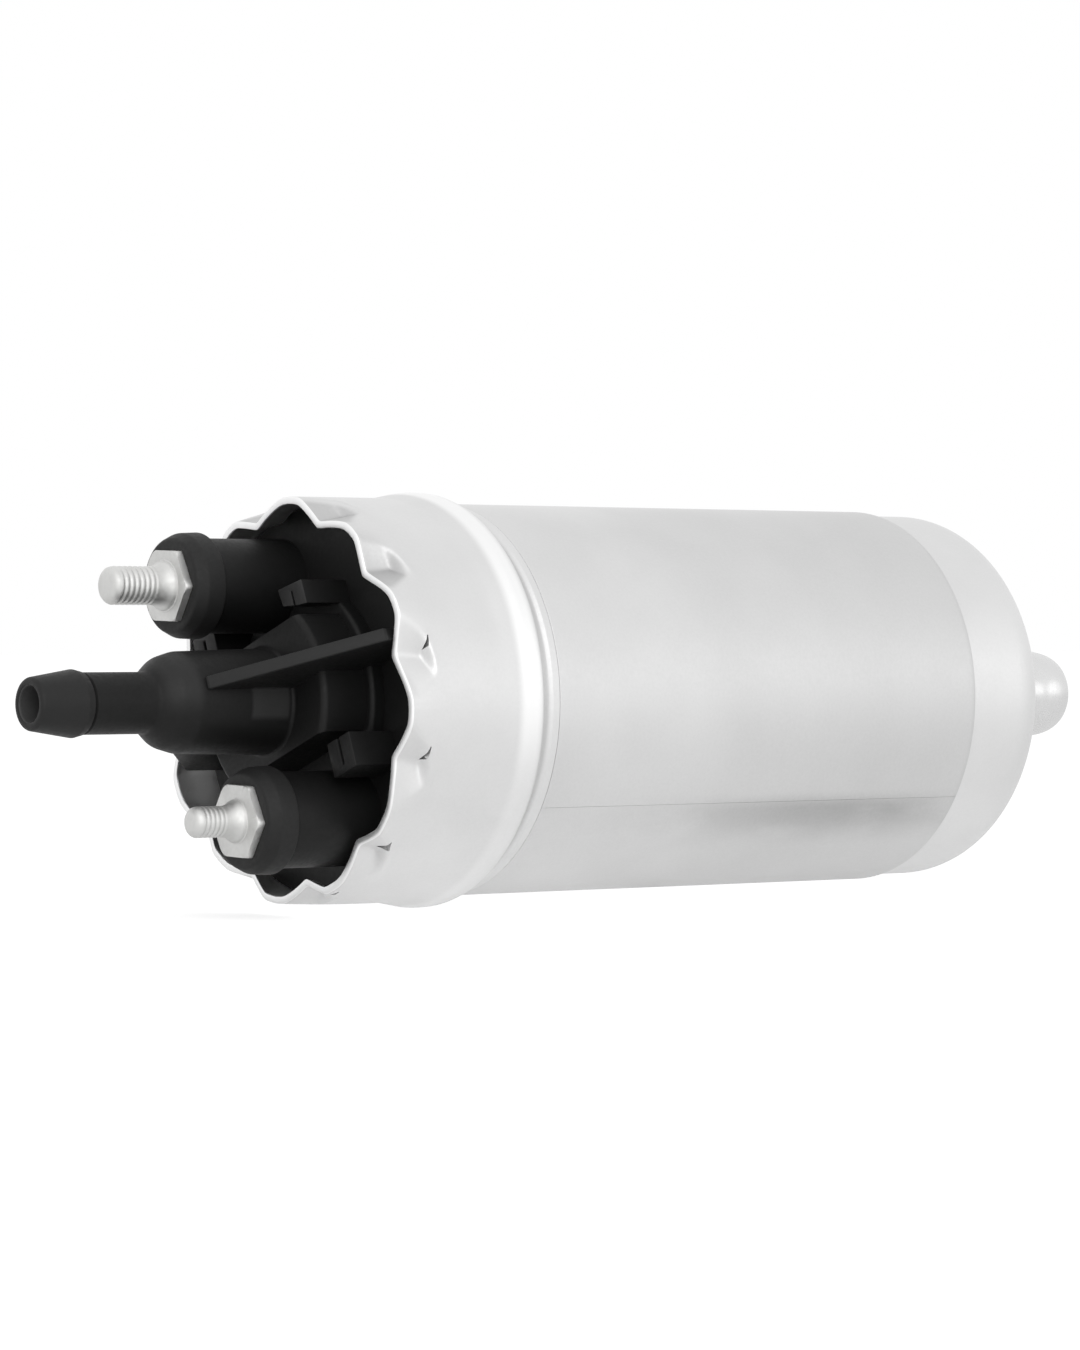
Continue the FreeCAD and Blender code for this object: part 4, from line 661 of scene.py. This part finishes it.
off = turns - (turns + 0.5).math("FLOOR")
across = off * pitch * (COLLAR / 1000)
short = angle.curve([(-180, -0.5), (-110, -1.2), (-80, -1.2), (-49, -0.9), (-16.5, -0.2),
                     (14.8, 0.0), (44.8, 0.0), (90, 0.0), (180, -0.5)], 2.0)
slanted = station + across * crimp.size("Slant") - short * 0.001
along = (slanted / crimp.size("Length")).math("MINIMUM", 1.0).math("MAXIMUM", 0.0)
shifted = across + crimp.size("Wall shift") * along
rim_half = crimp.size("Rim half width")
half = rim_half + (crimp.size("Wall half width") - rim_half) * along
rim_depth = crimp.size("Rim depth")
depth = rim_depth + (crimp.size("Wall depth") - rim_depth) * along
bent = (shifted * shifted + crimp.size("Crease") * crimp.size("Crease")).math("SQRT")
wedge = (1.0 - bent / half).smooth_above(0.12)
inner_skin = ((COLLAR - WALL / 2) / 1000 - radius).ramp(0.0, 0.0002)
back = crimp.size("Length") + inner_skin * INNER_STEP_BACK
gone = (slanted - back).ramp(STEP_START, STEP_END)
pressed = depth * wedge * (1.0 - gone)
behind = ((slanted - crimp.size("Length") - RIDGE_BACK) / RIDGE_WIDTH).bell(2.0)
bulge = behind * (shifted / RIDGE_REACH).bell(4.0) * crimp.size("Ridge") * (1.0 - inner_skin)
lean = angle.curve([(-180, 0.3), (-168, 1.2), (-155, 2.3), (-140, 1.0), (-122, 0.0), (-100, 0.0),
                    (-80, -0.4), (-65, -0.5), (-49, -0.55), (-32, -0.5), (-16.5, 0.1), (-3, 0.5),
                    (14.8, -0.1), (28.5, 0.15), (44.8, -0.5), (62, -0.25), (73.9, -0.1), (92, 0.0),
                    (130, 0.0), (160, 0.0), (180, 0.3)], 4.0)
moved = bulge - pressed + lean * (station / LEAN_REACH).bell(2.0) * crimp.size("Lean")
change = moved / radius + 1.0
crimp.finish(crimp.x, crimp.y * change, crimp.z * change)
print("crimp tree nodes", len(crimp.group.nodes))
crimp.apply(can, CAN_METAL, {
    "Crimps": CRIMPS, "First angle": math.radians(15.0), "Unevenness": math.radians(1.0),
    "Length": 0.0037, "Slant": 0.20, "Rim depth": 0.0024, "Wall depth": 0.0017,
    "Rim half width": 0.00606, "Wall half width": 0.0025, "Wall shift": 0.0006, "Crease": 0.0004,
    "Ridge": 0.00008, "Lean": 0.001})

# %% [markdown]
# Where the punch went deepest, the sheet tore open along the foot of the step. A tear is a thin
# wedge, cut out of the wall with a Boolean.

# %% The tears
def combine(base, tools, operation):
    """Boolean of a piece with several others, which are then removed."""
    for tool in tools:
        step = base.modifiers.new("join", "BOOLEAN")
        step.operation = operation
        step.solver = "EXACT"
        step.object = tool
    bake(base)
    for tool in tools:
        bpy.data.objects.remove(tool)


TORN_FLOOR = 24.8
WEDGE_FACES = [(0, 1, 2, 3), (4, 5, 6, 7), (0, 1, 5, 4), (1, 2, 6, 5), (2, 3, 7, 6), (3, 0, 4, 7)]
tears = []
for middle, foot, length, width in ((17.2, 3.5, 1.6, 0.6), (-14.0, 3.2, 2.0, 0.65),
                                    (-44.8, 2.2, 1.8, 1.6), (-70.5, 1.1, 1.4, 0.9),
                                    (134.0, 3.4, 1.6, 0.5)):
    reach = math.degrees(length / 2 / TORN_FLOOR)
    points = []
    for level, share in ((22.6, 0.5), (27.6, 1.0)):
        for s, turn in ((foot - width / 2 * share, middle - reach),
                        (foot + width / 2 * share, middle - reach * 0.6),
                        (foot + 0.35, middle + reach), (foot + 0.2, middle + reach)):
            points.append(place(s, level, math.radians(turn)))
    tears.append(mesh_object("tear", points, WEDGE_FACES))
combine(can, tears, "DIFFERENCE")
shade(can, 40.0)
dress(can, "pump_can", CAN_METAL)

# %% [markdown]
# ## The sleeve
# A strip of sheet is rolled round the can and left open at a butt seam. It is a C in
# cross-section, so it is made from rings of points that run round the outside and back along the
# inside. The rings at both ends are smaller by the sheared edge's rounding.

# %% The wrapped sleeve
SLEEVE = 26.0
SHEET = 0.4
SEAM_GAP = 0.03
half_gap = SEAM_GAP / 2 / SLEEVE
sweep = np.linspace(SEAM_ANGLE + half_gap, SEAM_ANGLE - half_gap + 2 * math.pi, 241)
sleeve_rows = []
full_rows = [(s, 0.0) for s in (24.6, 25.4, 30.0, 40.0, 50.0, 61.0, 72.0, 82.0, 92.0, 96.6, 97.4)]
for s, inset in [(24.5, 0.05), (24.52, 0.015), *full_rows, (97.47, 0.04), (97.5, 0.12)]:
    outer = place(s, SLEEVE - inset, sweep)
    inner = place(s, SLEEVE - SHEET + inset, sweep[::-1])
    sleeve_rows.append(np.concatenate([outer, inner]))
ring = len(sweep)
faces = grid_faces(len(sleeve_rows), 2 * ring, True)[:(len(sleeve_rows) - 1) * 2 * ring]
for row in (0, len(sleeve_rows) - 1):
    start = row * 2 * ring
    for k in range(ring - 1):
        faces.append([start + k, start + k + 1, start + 2 * ring - 2 - k, start + 2 * ring - 1 - k])
sleeve = mesh_object("sleeve_wrap", np.array(sleeve_rows), faces, sharp=50.0)
dress(sleeve, "outer_sleeve", SLEEVE_METAL)

# %% [markdown]
# ## The inlet pipe
# It is turned from bar and pushed through the can's end from inside, where its flange stops it. A
# rolled bead near the tip holds the hose.

# %% The inlet pipe
PIPE = 5.8
pipe = rounded([(111.5, 4.0), (111.5, 8.5, 0.2), (112.7, 8.5, 0.1), (112.7, PIPE), (129.0, PIPE)],
               closed=False)
neck = [(129.1 + 2.2 * part, PIPE + 0.2 * (1 - math.cos(math.pi * part)))
        for part in np.linspace(0, 1, 9)[:-1]]
dome = [(131.3 + 4.6 * math.sin(a), 4.5 + 1.7 * math.cos(a))
        for a in np.linspace(0, math.pi / 2, 15)]
nipple = turned("inlet_pipe", np.concatenate([finer(pipe, 3.0, closed=False), np.array(neck + dome),
                                              [(135.88, 4.2), (135.7, 4.0)]]), 128)
dress(nipple, "inlet_nipple", NIPPLE_METAL)

# %% [markdown]
# ## The outlet cover
# The cover is one moulding. Its middle is turned: barb, pipe, round shoulder of the valve
# housing, and a boss in two steps. Towers, ribs and lugs stand on it. Each is made on its own
# with soft edges, and a Boolean joins them to the middle, which is how a mould maker thinks of
# the part as well.

# %% Blocks with soft edges
def block(name, corners, spin, bevel):
    """Block between two outlines, listed one after the other. Each corner is (station, across, out)
    in mm, turned to an angle."""
    direction = np.array([-math.cos(spin), math.sin(spin)])
    side = np.array([direction[1], -direction[0]])
    points = []
    for s, across, out in corners:
        y, z = direction * out + side * across
        points.append(((s - ORIGIN_STATION) / 1000, y / 1000, z / 1000))
    count = len(points) // 2
    faces = [list(range(count)), list(range(count, 2 * count))]
    faces += [[k, (k + 1) % count, count + (k + 1) % count, count + k] for k in range(count)]
    piece = mesh_object(name, points, faces)
    if bevel:
        soften(piece, bevel)
    return piece


def prism(name, outline, start, end, spin, bevel):
    """Block between two stations. Its outline is (across, out)."""
    return block(name, [(s, *corner) for s in (start, end) for corner in outline], spin, bevel)


def soften(piece, width):
    """Small round on every sharp edge of a piece."""
    edge = piece.modifiers.new("soft", "BEVEL")
    edge.width = width / 1000
    edge.segments = 2
    edge.limit_method = "ANGLE"
    edge.angle_limit = math.radians(30)
    bake(piece)


# %% [markdown]
# The drawing of the middle goes once round its whole section, from the barb's mouth along the
# outside to the flange, and back through the hollow to the bore. A third number rounds a corner
# off, as the mould does.

# %% The turned middle of the cover
cover = turned("cover_body", finer(rounded([
    (-39.7, 2.3, 0.4), (-39.7, 3.35, 0.9), (-33.4, 4.35, 0.5), (-32.35, 4.1), (-32.35, 3.7),
    (-32.0, 3.7), (-31.8, 3.95), (-22.5, 3.95, 1.2), (-21.9, 4.5, 0.6), (-20.2, 5.9, 2.6),
    (-17.8, 6.55, 3.0), (-3.9, 6.9, 0.5), (-3.9, 13.3, 0.9), (2.6, 13.5), (2.6, 14.9, 0.7),
    (4.6, 14.9), (4.6, 25.45, 0.3), (12.68, 25.45), (12.68, 23.35), (15.32, 23.35), (15.32, 25.45),
    (17.9, 25.45), (18.5, 24.3), (20.0, 24.3), (20.0, 21.7), (8.6, 21.7), (8.6, 7.2), (1.5, 5.3),
    (-1.0, 5.3), (-1.0, 4.7), (-15.0, 4.7), (-17.0, 2.3)], steps=8), 4.0), 160)
print("turned middle triangles", triangles(cover))

# %% [markdown]
# The two gusset ribs run from the valve housing down to the flange. Their outline lies in a plane
# that holds the axis, so they are drawn in (station, radius) and given their thickness.

# %% Ribs, towers and lugs
TERMINAL_ANGLE = math.radians(118.35)
TERMINAL_CIRCLE = 17.03
BOTH_SIDES = (0.0, math.pi)
FLAT = [(8.0, -16.0), (16.0, -16.0), (16.0, 16.0), (8.0, 16.0)]
RIB = [(-17.0, 5.6), (-17.0, 7.0), (-1.0, 24.0), (5.1, 24.0), (5.1, 13.5), (-2.9, 11.0),
       (-2.9, 5.6)]
RIB_SIDES = (-0.7, 1.0)
LUGS = ([(10.6, 6.6), (13.05, 6.25), (12.5, 11.5), (9.2, 11.6), (9.7, 9.3), (11.8, 9.2),
         (11.9, 8.8), (9.9, 8.8)],
        [(-9.3, 9.3), (-13.9, 9.3), (-13.9, 14.3), (-9.3, 14.3), (-9.3, 12.05), (-12.9, 12.05),
         (-12.9, 11.55), (-9.3, 11.55)])
TOWER = rounded([(-8.8, 0.05), (-8.8, 6.2, 0.3), (8.1, 6.2), (8.1, 0.05)])
HOLE = np.array([(-9.5, 0.0001), (-9.5, 2.6), (11.5, 2.6), (11.5, 0.0001)])


def terminal_axis(spin):
    """Across and up of a terminal's own axis."""
    return (-TERMINAL_CIRCLE * math.cos(TERMINAL_ANGLE + spin),
            TERMINAL_CIRCLE * math.sin(TERMINAL_ANGLE + spin))


flats = [prism("flat", FLAT, -4.5, 2.59, RIB_ANGLE + spin, 0.0) for spin in BOTH_SIDES]
combine(cover, flats, "DIFFERENCE")
extras = [block("rib", [(s, side, out) for side in RIB_SIDES for s, out in RIB],
                RIB_ANGLE + spin, 0.22) for spin in BOTH_SIDES]
extras += [turned("tower", TOWER, 96, *terminal_axis(spin)) for spin in BOTH_SIDES]
extras += [prism("lug", outline, -2.5, 5.1, RIB_ANGLE + spin, 0.15)
           for spin in BOTH_SIDES for outline in LUGS]
combine(cover, extras, "UNION")
holes = [turned("hole", HOLE, 48, *terminal_axis(spin)) for spin in BOTH_SIDES]
combine(cover, holes, "DIFFERENCE")
shade(cover)
cover.data.materials.clear()
dress(cover, "outlet_cover", COVER_PLASTIC)

# %% [markdown]
# ## Terminals
# Each terminal is a stud with a hexagon that sits in a black insulator cap. The stud is one
# surface round its own axis, from the tip over the thread, the collar and the hexagon to the
# shank. The hexagon's corners are taken down by a cone, as on any nut.

# %% Insulator caps
RECESS_FLATS = 9.2


def hexagon_radius(angle, flats):
    """Distance to the side of a hexagon with flats up and down."""
    part = np.mod(angle + math.pi / 6, math.pi / 3) - math.pi / 6
    return flats / 2 / np.cos(part)


def cap(name, spin):
    """Insulator cap of a terminal, with a recess for the hexagon."""
    across, up = terminal_axis(spin)
    body = turned("cap_" + name, rounded([
        (-8.8, 2.65), (-13.0, 2.65), (-13.0, 6.1, 0.6), (-11.4, 6.85, 1.2), (-8.95, 6.95, 0.15),
        (-8.8, 6.8, 0.05)]), 128, across, up)
    turn = np.arange(6) * math.pi / 3 + TERMINAL_ANGLE + spin
    corner = RECESS_FLATS / 2 / math.cos(math.pi / 6)
    rows = [place(s, corner, turn, across, up) for s in (-14.0, -10.55)]
    tool = mesh_object("recess", np.array(rows), grid_faces(2, 6, False))
    combine(body, [tool], "DIFFERENCE")
    shade(body)
    body.data.materials.clear()
    dress(body, "insulator_" + name, CAP_PLASTIC)


cap("positive", 0.0)
cap("negative", math.pi)

# %% [markdown]
# A thread is a helix: going once round the stud moves the groove along by one pitch. A second
# tree does that to a plain rod. Its inputs are the pitch, the depth, the stud's radius, and where
# the thread starts and runs out.

# %% The thread tree
RUN_IN, RUN_OUT = 0.0004, 0.0008
thread = Tree("cut_thread", ["Across", "Up", "Radius", "Pitch", "Depth", "Start", "End"])
away_y = thread.y - thread.size("Across")
away_z = thread.z - thread.size("Up")
reach = (away_y * away_y + away_z * away_z).math("SQRT").math("MAXIMUM", 1e-6)
turn = away_z.math("ARCTAN2", away_y) / (2 * math.pi)
phase = (thread.x / thread.size("Pitch") + turn).math("FRACT")
groove = 1.0 - ((0.5 - phase).math("ABSOLUTE") * 2.0).ramp(0.06, 0.86)
on_rod = (reach / thread.size("Radius")).math("COMPARE", 1.0, 0.004)
fade_in = (thread.x - thread.size("Start")).ramp(0.0, RUN_IN)
fade_out = (thread.size("End") - thread.x).ramp(0.0, RUN_OUT)
cut = groove * on_rod * fade_in * fade_out * thread.size("Depth")
shrink = 1.0 - cut / reach
thread.finish(thread.x, away_y * shrink + thread.size("Across"),
              away_z * shrink + thread.size("Up"))
print("thread tree nodes", len(thread.group.nodes))

# %% [markdown]
# A stud is a stack of rings: round ones for the rod and the collar, six-sided ones for the
# hexagon, and round ones again for the shank. The thread needs fourteen rings for each turn, so
# that the tree has points to move. The two studs differ in size, as the terminals of such a pump
# do, so that no lead fits the wrong one.

# %% The studs
THREAD_END = -16.1
COLLAR_ROWS = ((-16.0, 0.0), (-15.6, 0.06), (-15.1, 0.2), (-14.75, 0.4), (-14.5, 0.58),
               (-14.3, 0.7), (-14.1, 0.74), (-13.98, 0.78), (-13.92, 0.9), (-13.98, 1.15))
HEXAGON_ROWS = ((-13.98, 4.85), (-13.93, 4.98), (-13.8, 5.1), (-13.5, 5.3), (-10.7, 5.3),
                (-10.6, 5.05), (-10.55, 4.8))
SHANK_ROWS = ((-10.55, 2.1), (-10.5, 1.9), (11.3, 1.9), (11.5, 1.7), (11.5, 0.15))
ACROSS_FLATS = 9.1
STUD_COLUMNS = 120
ROWS_PER_PITCH = 14
STUD_SHARP = 35.0


def stud(name, spin, radius, tip, pitch, depth):
    """Stud of a terminal, sizes in mm: a threaded rod, a collar, a hexagon and a shank."""
    across, up = terminal_axis(spin)
    turn = np.arange(STUD_COLUMNS) * 2 * math.pi / STUD_COLUMNS
    hexa = hexagon_radius(turn - TERMINAL_ANGLE - spin + math.pi / 6, ACROSS_FLATS)
    rows = [(-tip, 0.15), (-tip, radius - 0.95), (-tip + 0.06, radius - 0.72),
            (-tip + 0.25, radius - 0.4), (-tip + 0.55, radius - 0.14), (-tip + 0.9, radius)]
    rows += [(s, radius) for s in np.arange(-tip + 0.95, THREAD_END, pitch / ROWS_PER_PITCH)]
    rows += [(s, radius + more) for s, more in COLLAR_ROWS]
    flat = [(s, np.full(STUD_COLUMNS, r)) for s, r in rows]
    flat += [(s, np.minimum(hexa, cone)) for s, cone in HEXAGON_ROWS]
    flat += [(s, np.full(STUD_COLUMNS, r)) for s, r in SHANK_ROWS]
    points = np.array([place(s, r, turn, across, up) for s, r in flat])
    faces = grid_faces(len(flat), STUD_COLUMNS, False)
    piece = mesh_object("stud_" + name, points, faces, STUD_SHARP)
    thread.apply(piece, STUD_METAL, {
        "Across": across / 1000, "Up": up / 1000, "Radius": radius / 1000, "Pitch": pitch / 1000,
        "Depth": depth / 1000, "Start": (-tip + 0.7 - ORIGIN_STATION) / 1000,
        "End": (THREAD_END - ORIGIN_STATION) / 1000})
    shade(piece, STUD_SHARP)
    dress(piece, "terminal_stud_" + name, STUD_METAL)


stud("positive", 0.0, 2.5, 22.9, 0.8, 0.13)
stud("negative", math.pi, 2.0, 20.9, 0.7, 0.07)

# %% [markdown]
# ## The springs
# Four coil springs push on the check valve's poppet, the relief ball and the two brushes. The CAD
# part has each one as the sleeve that its turns fill. A spring maker winds straight wire round a
# rod and lays one turn flat at each end, so the seat is square. This tree winds a straight wire
# in the same way: the wire's length gives the angle, and the turns between the two flat ones
# share the free length.

# %% The winding tree
wind = Tree("wind_spring", ["Mean radius", "Wire", "Length", "Turns"])
wound = wind.x / wind.size("Mean radius")
counted = wound / (2 * math.pi)
free_turns = wind.size("Turns") - 2.0
free = (counted - 1.0).math("MAXIMUM", 0.0).math("MINIMUM", free_turns)
gap = (wind.size("Length") - wind.size("Wire") * (wind.size("Turns") + 1.0)) / free_turns
height = wind.size("Wire") * (counted + 0.5) + free * gap + wind.y
reach = wind.size("Mean radius") + wind.z
wind.finish(reach * wound.math("COSINE"), reach * wound.math("SINE"), height)
print("winding tree nodes", len(wind.group.nodes))

# %% [markdown]
# A spring can't ride on one body: one end stays on the housing and the other follows the moving
# piece. Here each spring is wound along its joint's axis and rides on the housing.

# %% The four springs
ROWS_PER_TURN = 40
joints = {joint["name"]: joint for joint in frame["joints"]}


def spring(node, joint, start, length, radius, wire, turns):
    """Coil spring, sizes in mm, from its moving start along the joint's axis to its fixed end."""
    axis = Vector(joints[joint]["axis"])
    start = Vector(start) / 1000
    mean = radius - wire / 2
    along = np.linspace(0.0, 2 * math.pi * mean * turns, ROWS_PER_TURN * turns + 1)
    straight = np.stack([ORIGIN_STATION + along, np.full(len(along), wire / 2)], axis=-1)
    piece = turned(node + "_coil", straight, columns=12, ring=False)
    wind.apply(piece, SLOT_FINISHES["spring_steel"], {
        "Mean radius": mean / 1000, "Wire": wire / 1000, "Length": length / 1000, "Turns": turns})
    aim = axis.to_track_quat("Z", "Y").to_matrix().to_4x4()
    piece.data.transform(Matrix.Translation(start) @ aim)
    dress(piece, node, SLOT_FINISHES["spring_steel"])
    start + axis * length / 1000
    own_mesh(piece)


BRUSH_BACK = 16.55
brush_axis = Vector(joints["brush_positive_feed"]["axis"])
spring("check_valve_spring", "check_valve_lift", (-64.22, 0, 0), 11.78, 3.38, 0.6, 8)
spring("relief_valve_spring", "relief_valve_lift", (29.9, 0, 19.6), 11.6, 1.98, 0.6, 10)
for name, side in (("positive", 1), ("negative", -1)):
    back = (-34.65, side * BRUSH_BACK * brush_axis.y, side * BRUSH_BACK * brush_axis.z)
    spring("brush_spring_" + name, "brush_%s_feed" % name, back, 4.5, 2.08, 0.35, 4)

# %% [markdown]
# ## Floor, light and camera
# The floor is pale and as white as the photograph's background where no shadow falls on it. A
# matte paper alone would come out grey, so it glows a little towards the camera and reflections.

# %% Floor
FLOOR = cad_low.z - 0.0002
SIZE = 6.0
corners = [(SIZE * x, SIZE * y, FLOOR) for x, y in ((-1, -1), (1, -1), (1, 1), (-1, 1))]
floor_mesh = bpy.data.meshes.new("floor")
floor_mesh.from_pydata(corners, [], [(0, 1, 2, 3)])
floor = bpy.data.objects.new("floor", floor_mesh)
bpy.context.scene.collection.objects.link(floor)
paper = bpy.data.materials.new("floor_paper")
paper.use_nodes = True
nodes, links = paper.node_tree.nodes, paper.node_tree.links
nodes.clear()
out = nodes.new("ShaderNodeOutputMaterial")
matte = nodes.new("ShaderNodeBsdfDiffuse")
matte.inputs["Color"].default_value = (0.86, 0.86, 0.86, 1)
glow = nodes.new("ShaderNodeEmission")
seen = nodes.new("ShaderNodeLightPath")
to_camera = Number(paper.node_tree, seen.outputs["Is Camera Ray"])
to_mirror = Number(paper.node_tree, seen.outputs["Is Glossy Ray"])
links.new((to_camera * 0.72 + to_mirror * 0.45).socket, glow.inputs["Strength"])
both = nodes.new("ShaderNodeAddShader")
links.new(matte.outputs[0], both.inputs[0])
links.new(glow.outputs[0], both.inputs[1])
links.new(both.outputs[0], out.inputs[0])
floor_mesh.materials.append(paper)
print("floor in mm under the frame's origin", round(-1000 * FLOOR, 2))

# %% [markdown]
# The world is white to the camera and to reflections, and a softer grey as a light, so bare metal
# looks bright but keeps its shading. Two large soft lamps shape the round body.

# %% World and lamps
world = bpy.data.worlds.new("studio")
bpy.context.scene.world = world
world.use_nodes = True
nodes, links = world.node_tree.nodes, world.node_tree.links
nodes.clear()
out = nodes.new("ShaderNodeOutputWorld")
soft = nodes.new("ShaderNodeBackground")
soft.inputs["Color"].default_value = (1, 1, 1, 1)
soft.inputs["Strength"].default_value = 0.42
white = nodes.new("ShaderNodeBackground")
white.inputs["Color"].default_value = (1, 1, 1, 1)
white.inputs["Strength"].default_value = 1.0
seen = nodes.new("ShaderNodeLightPath")
to_camera, to_mirror, through = (
    Number(world.node_tree, seen.outputs[title])
    for title in ("Is Camera Ray", "Is Glossy Ray", "Is Transmission Ray"))
choose = nodes.new("ShaderNodeMixShader")
links.new(to_camera.math("MAXIMUM", to_mirror).math("MAXIMUM", through).socket, choose.inputs[0])
links.new(soft.outputs[0], choose.inputs[1])
links.new(white.outputs[0], choose.inputs[2])
links.new(choose.outputs[0], out.inputs[0])


def lamp(name, where, width, height, power):
    """Soft lamp that looks at the frame's origin."""
    light = bpy.data.lights.new(name, "AREA")
    light.shape = "RECTANGLE"
    light.size = width
    light.size_y = height
    light.energy = power
    holder = bpy.data.objects.new(name, light)
    bpy.context.scene.collection.objects.link(holder)
    holder.location = where
    holder.rotation_mode = "QUATERNION"
    holder.rotation_quaternion = (-Vector(where)).to_track_quat("-Z", "Y")


lamp("key", (-0.78, -1.2, 0.6), 1.0, 1.5, 7.0)
lamp("fill", (0.95, -1.17, 0.22), 1.2, 0.7, 1.4)

# %% [markdown]
# The camera has the photograph's viewing angle and a long lens. It looks at a point near the
# axis, a little towards the outlet.

# %% Camera
camera_data = bpy.data.cameras.new("camera")
camera_data.lens = 132.9
camera_data.sensor_width = 36.0
camera_data.sensor_fit = "AUTO"
camera_data.clip_start = 0.02
camera_data.clip_end = 20.0
camera = bpy.data.objects.new("camera", camera_data)
bpy.context.scene.collection.objects.link(camera)
azimuth, elevation, distance = math.radians(-38.2), math.radians(0.5), 0.6723
back = Vector((math.sin(azimuth) * math.cos(elevation), -math.cos(azimuth) * math.cos(elevation),
               math.sin(elevation)))
AIM = Vector((-0.0194, 0.0, 0.0032))
camera.location = AIM + back * distance
camera.rotation_mode = "QUATERNION"
camera.rotation_quaternion = (-back).to_track_quat("-Z", "Y")
bpy.context.scene.camera = camera
bpy.context.scene.view_settings.view_transform = "Standard"
print("camera in mm", [round(1000 * v, 1) for v in camera.location])
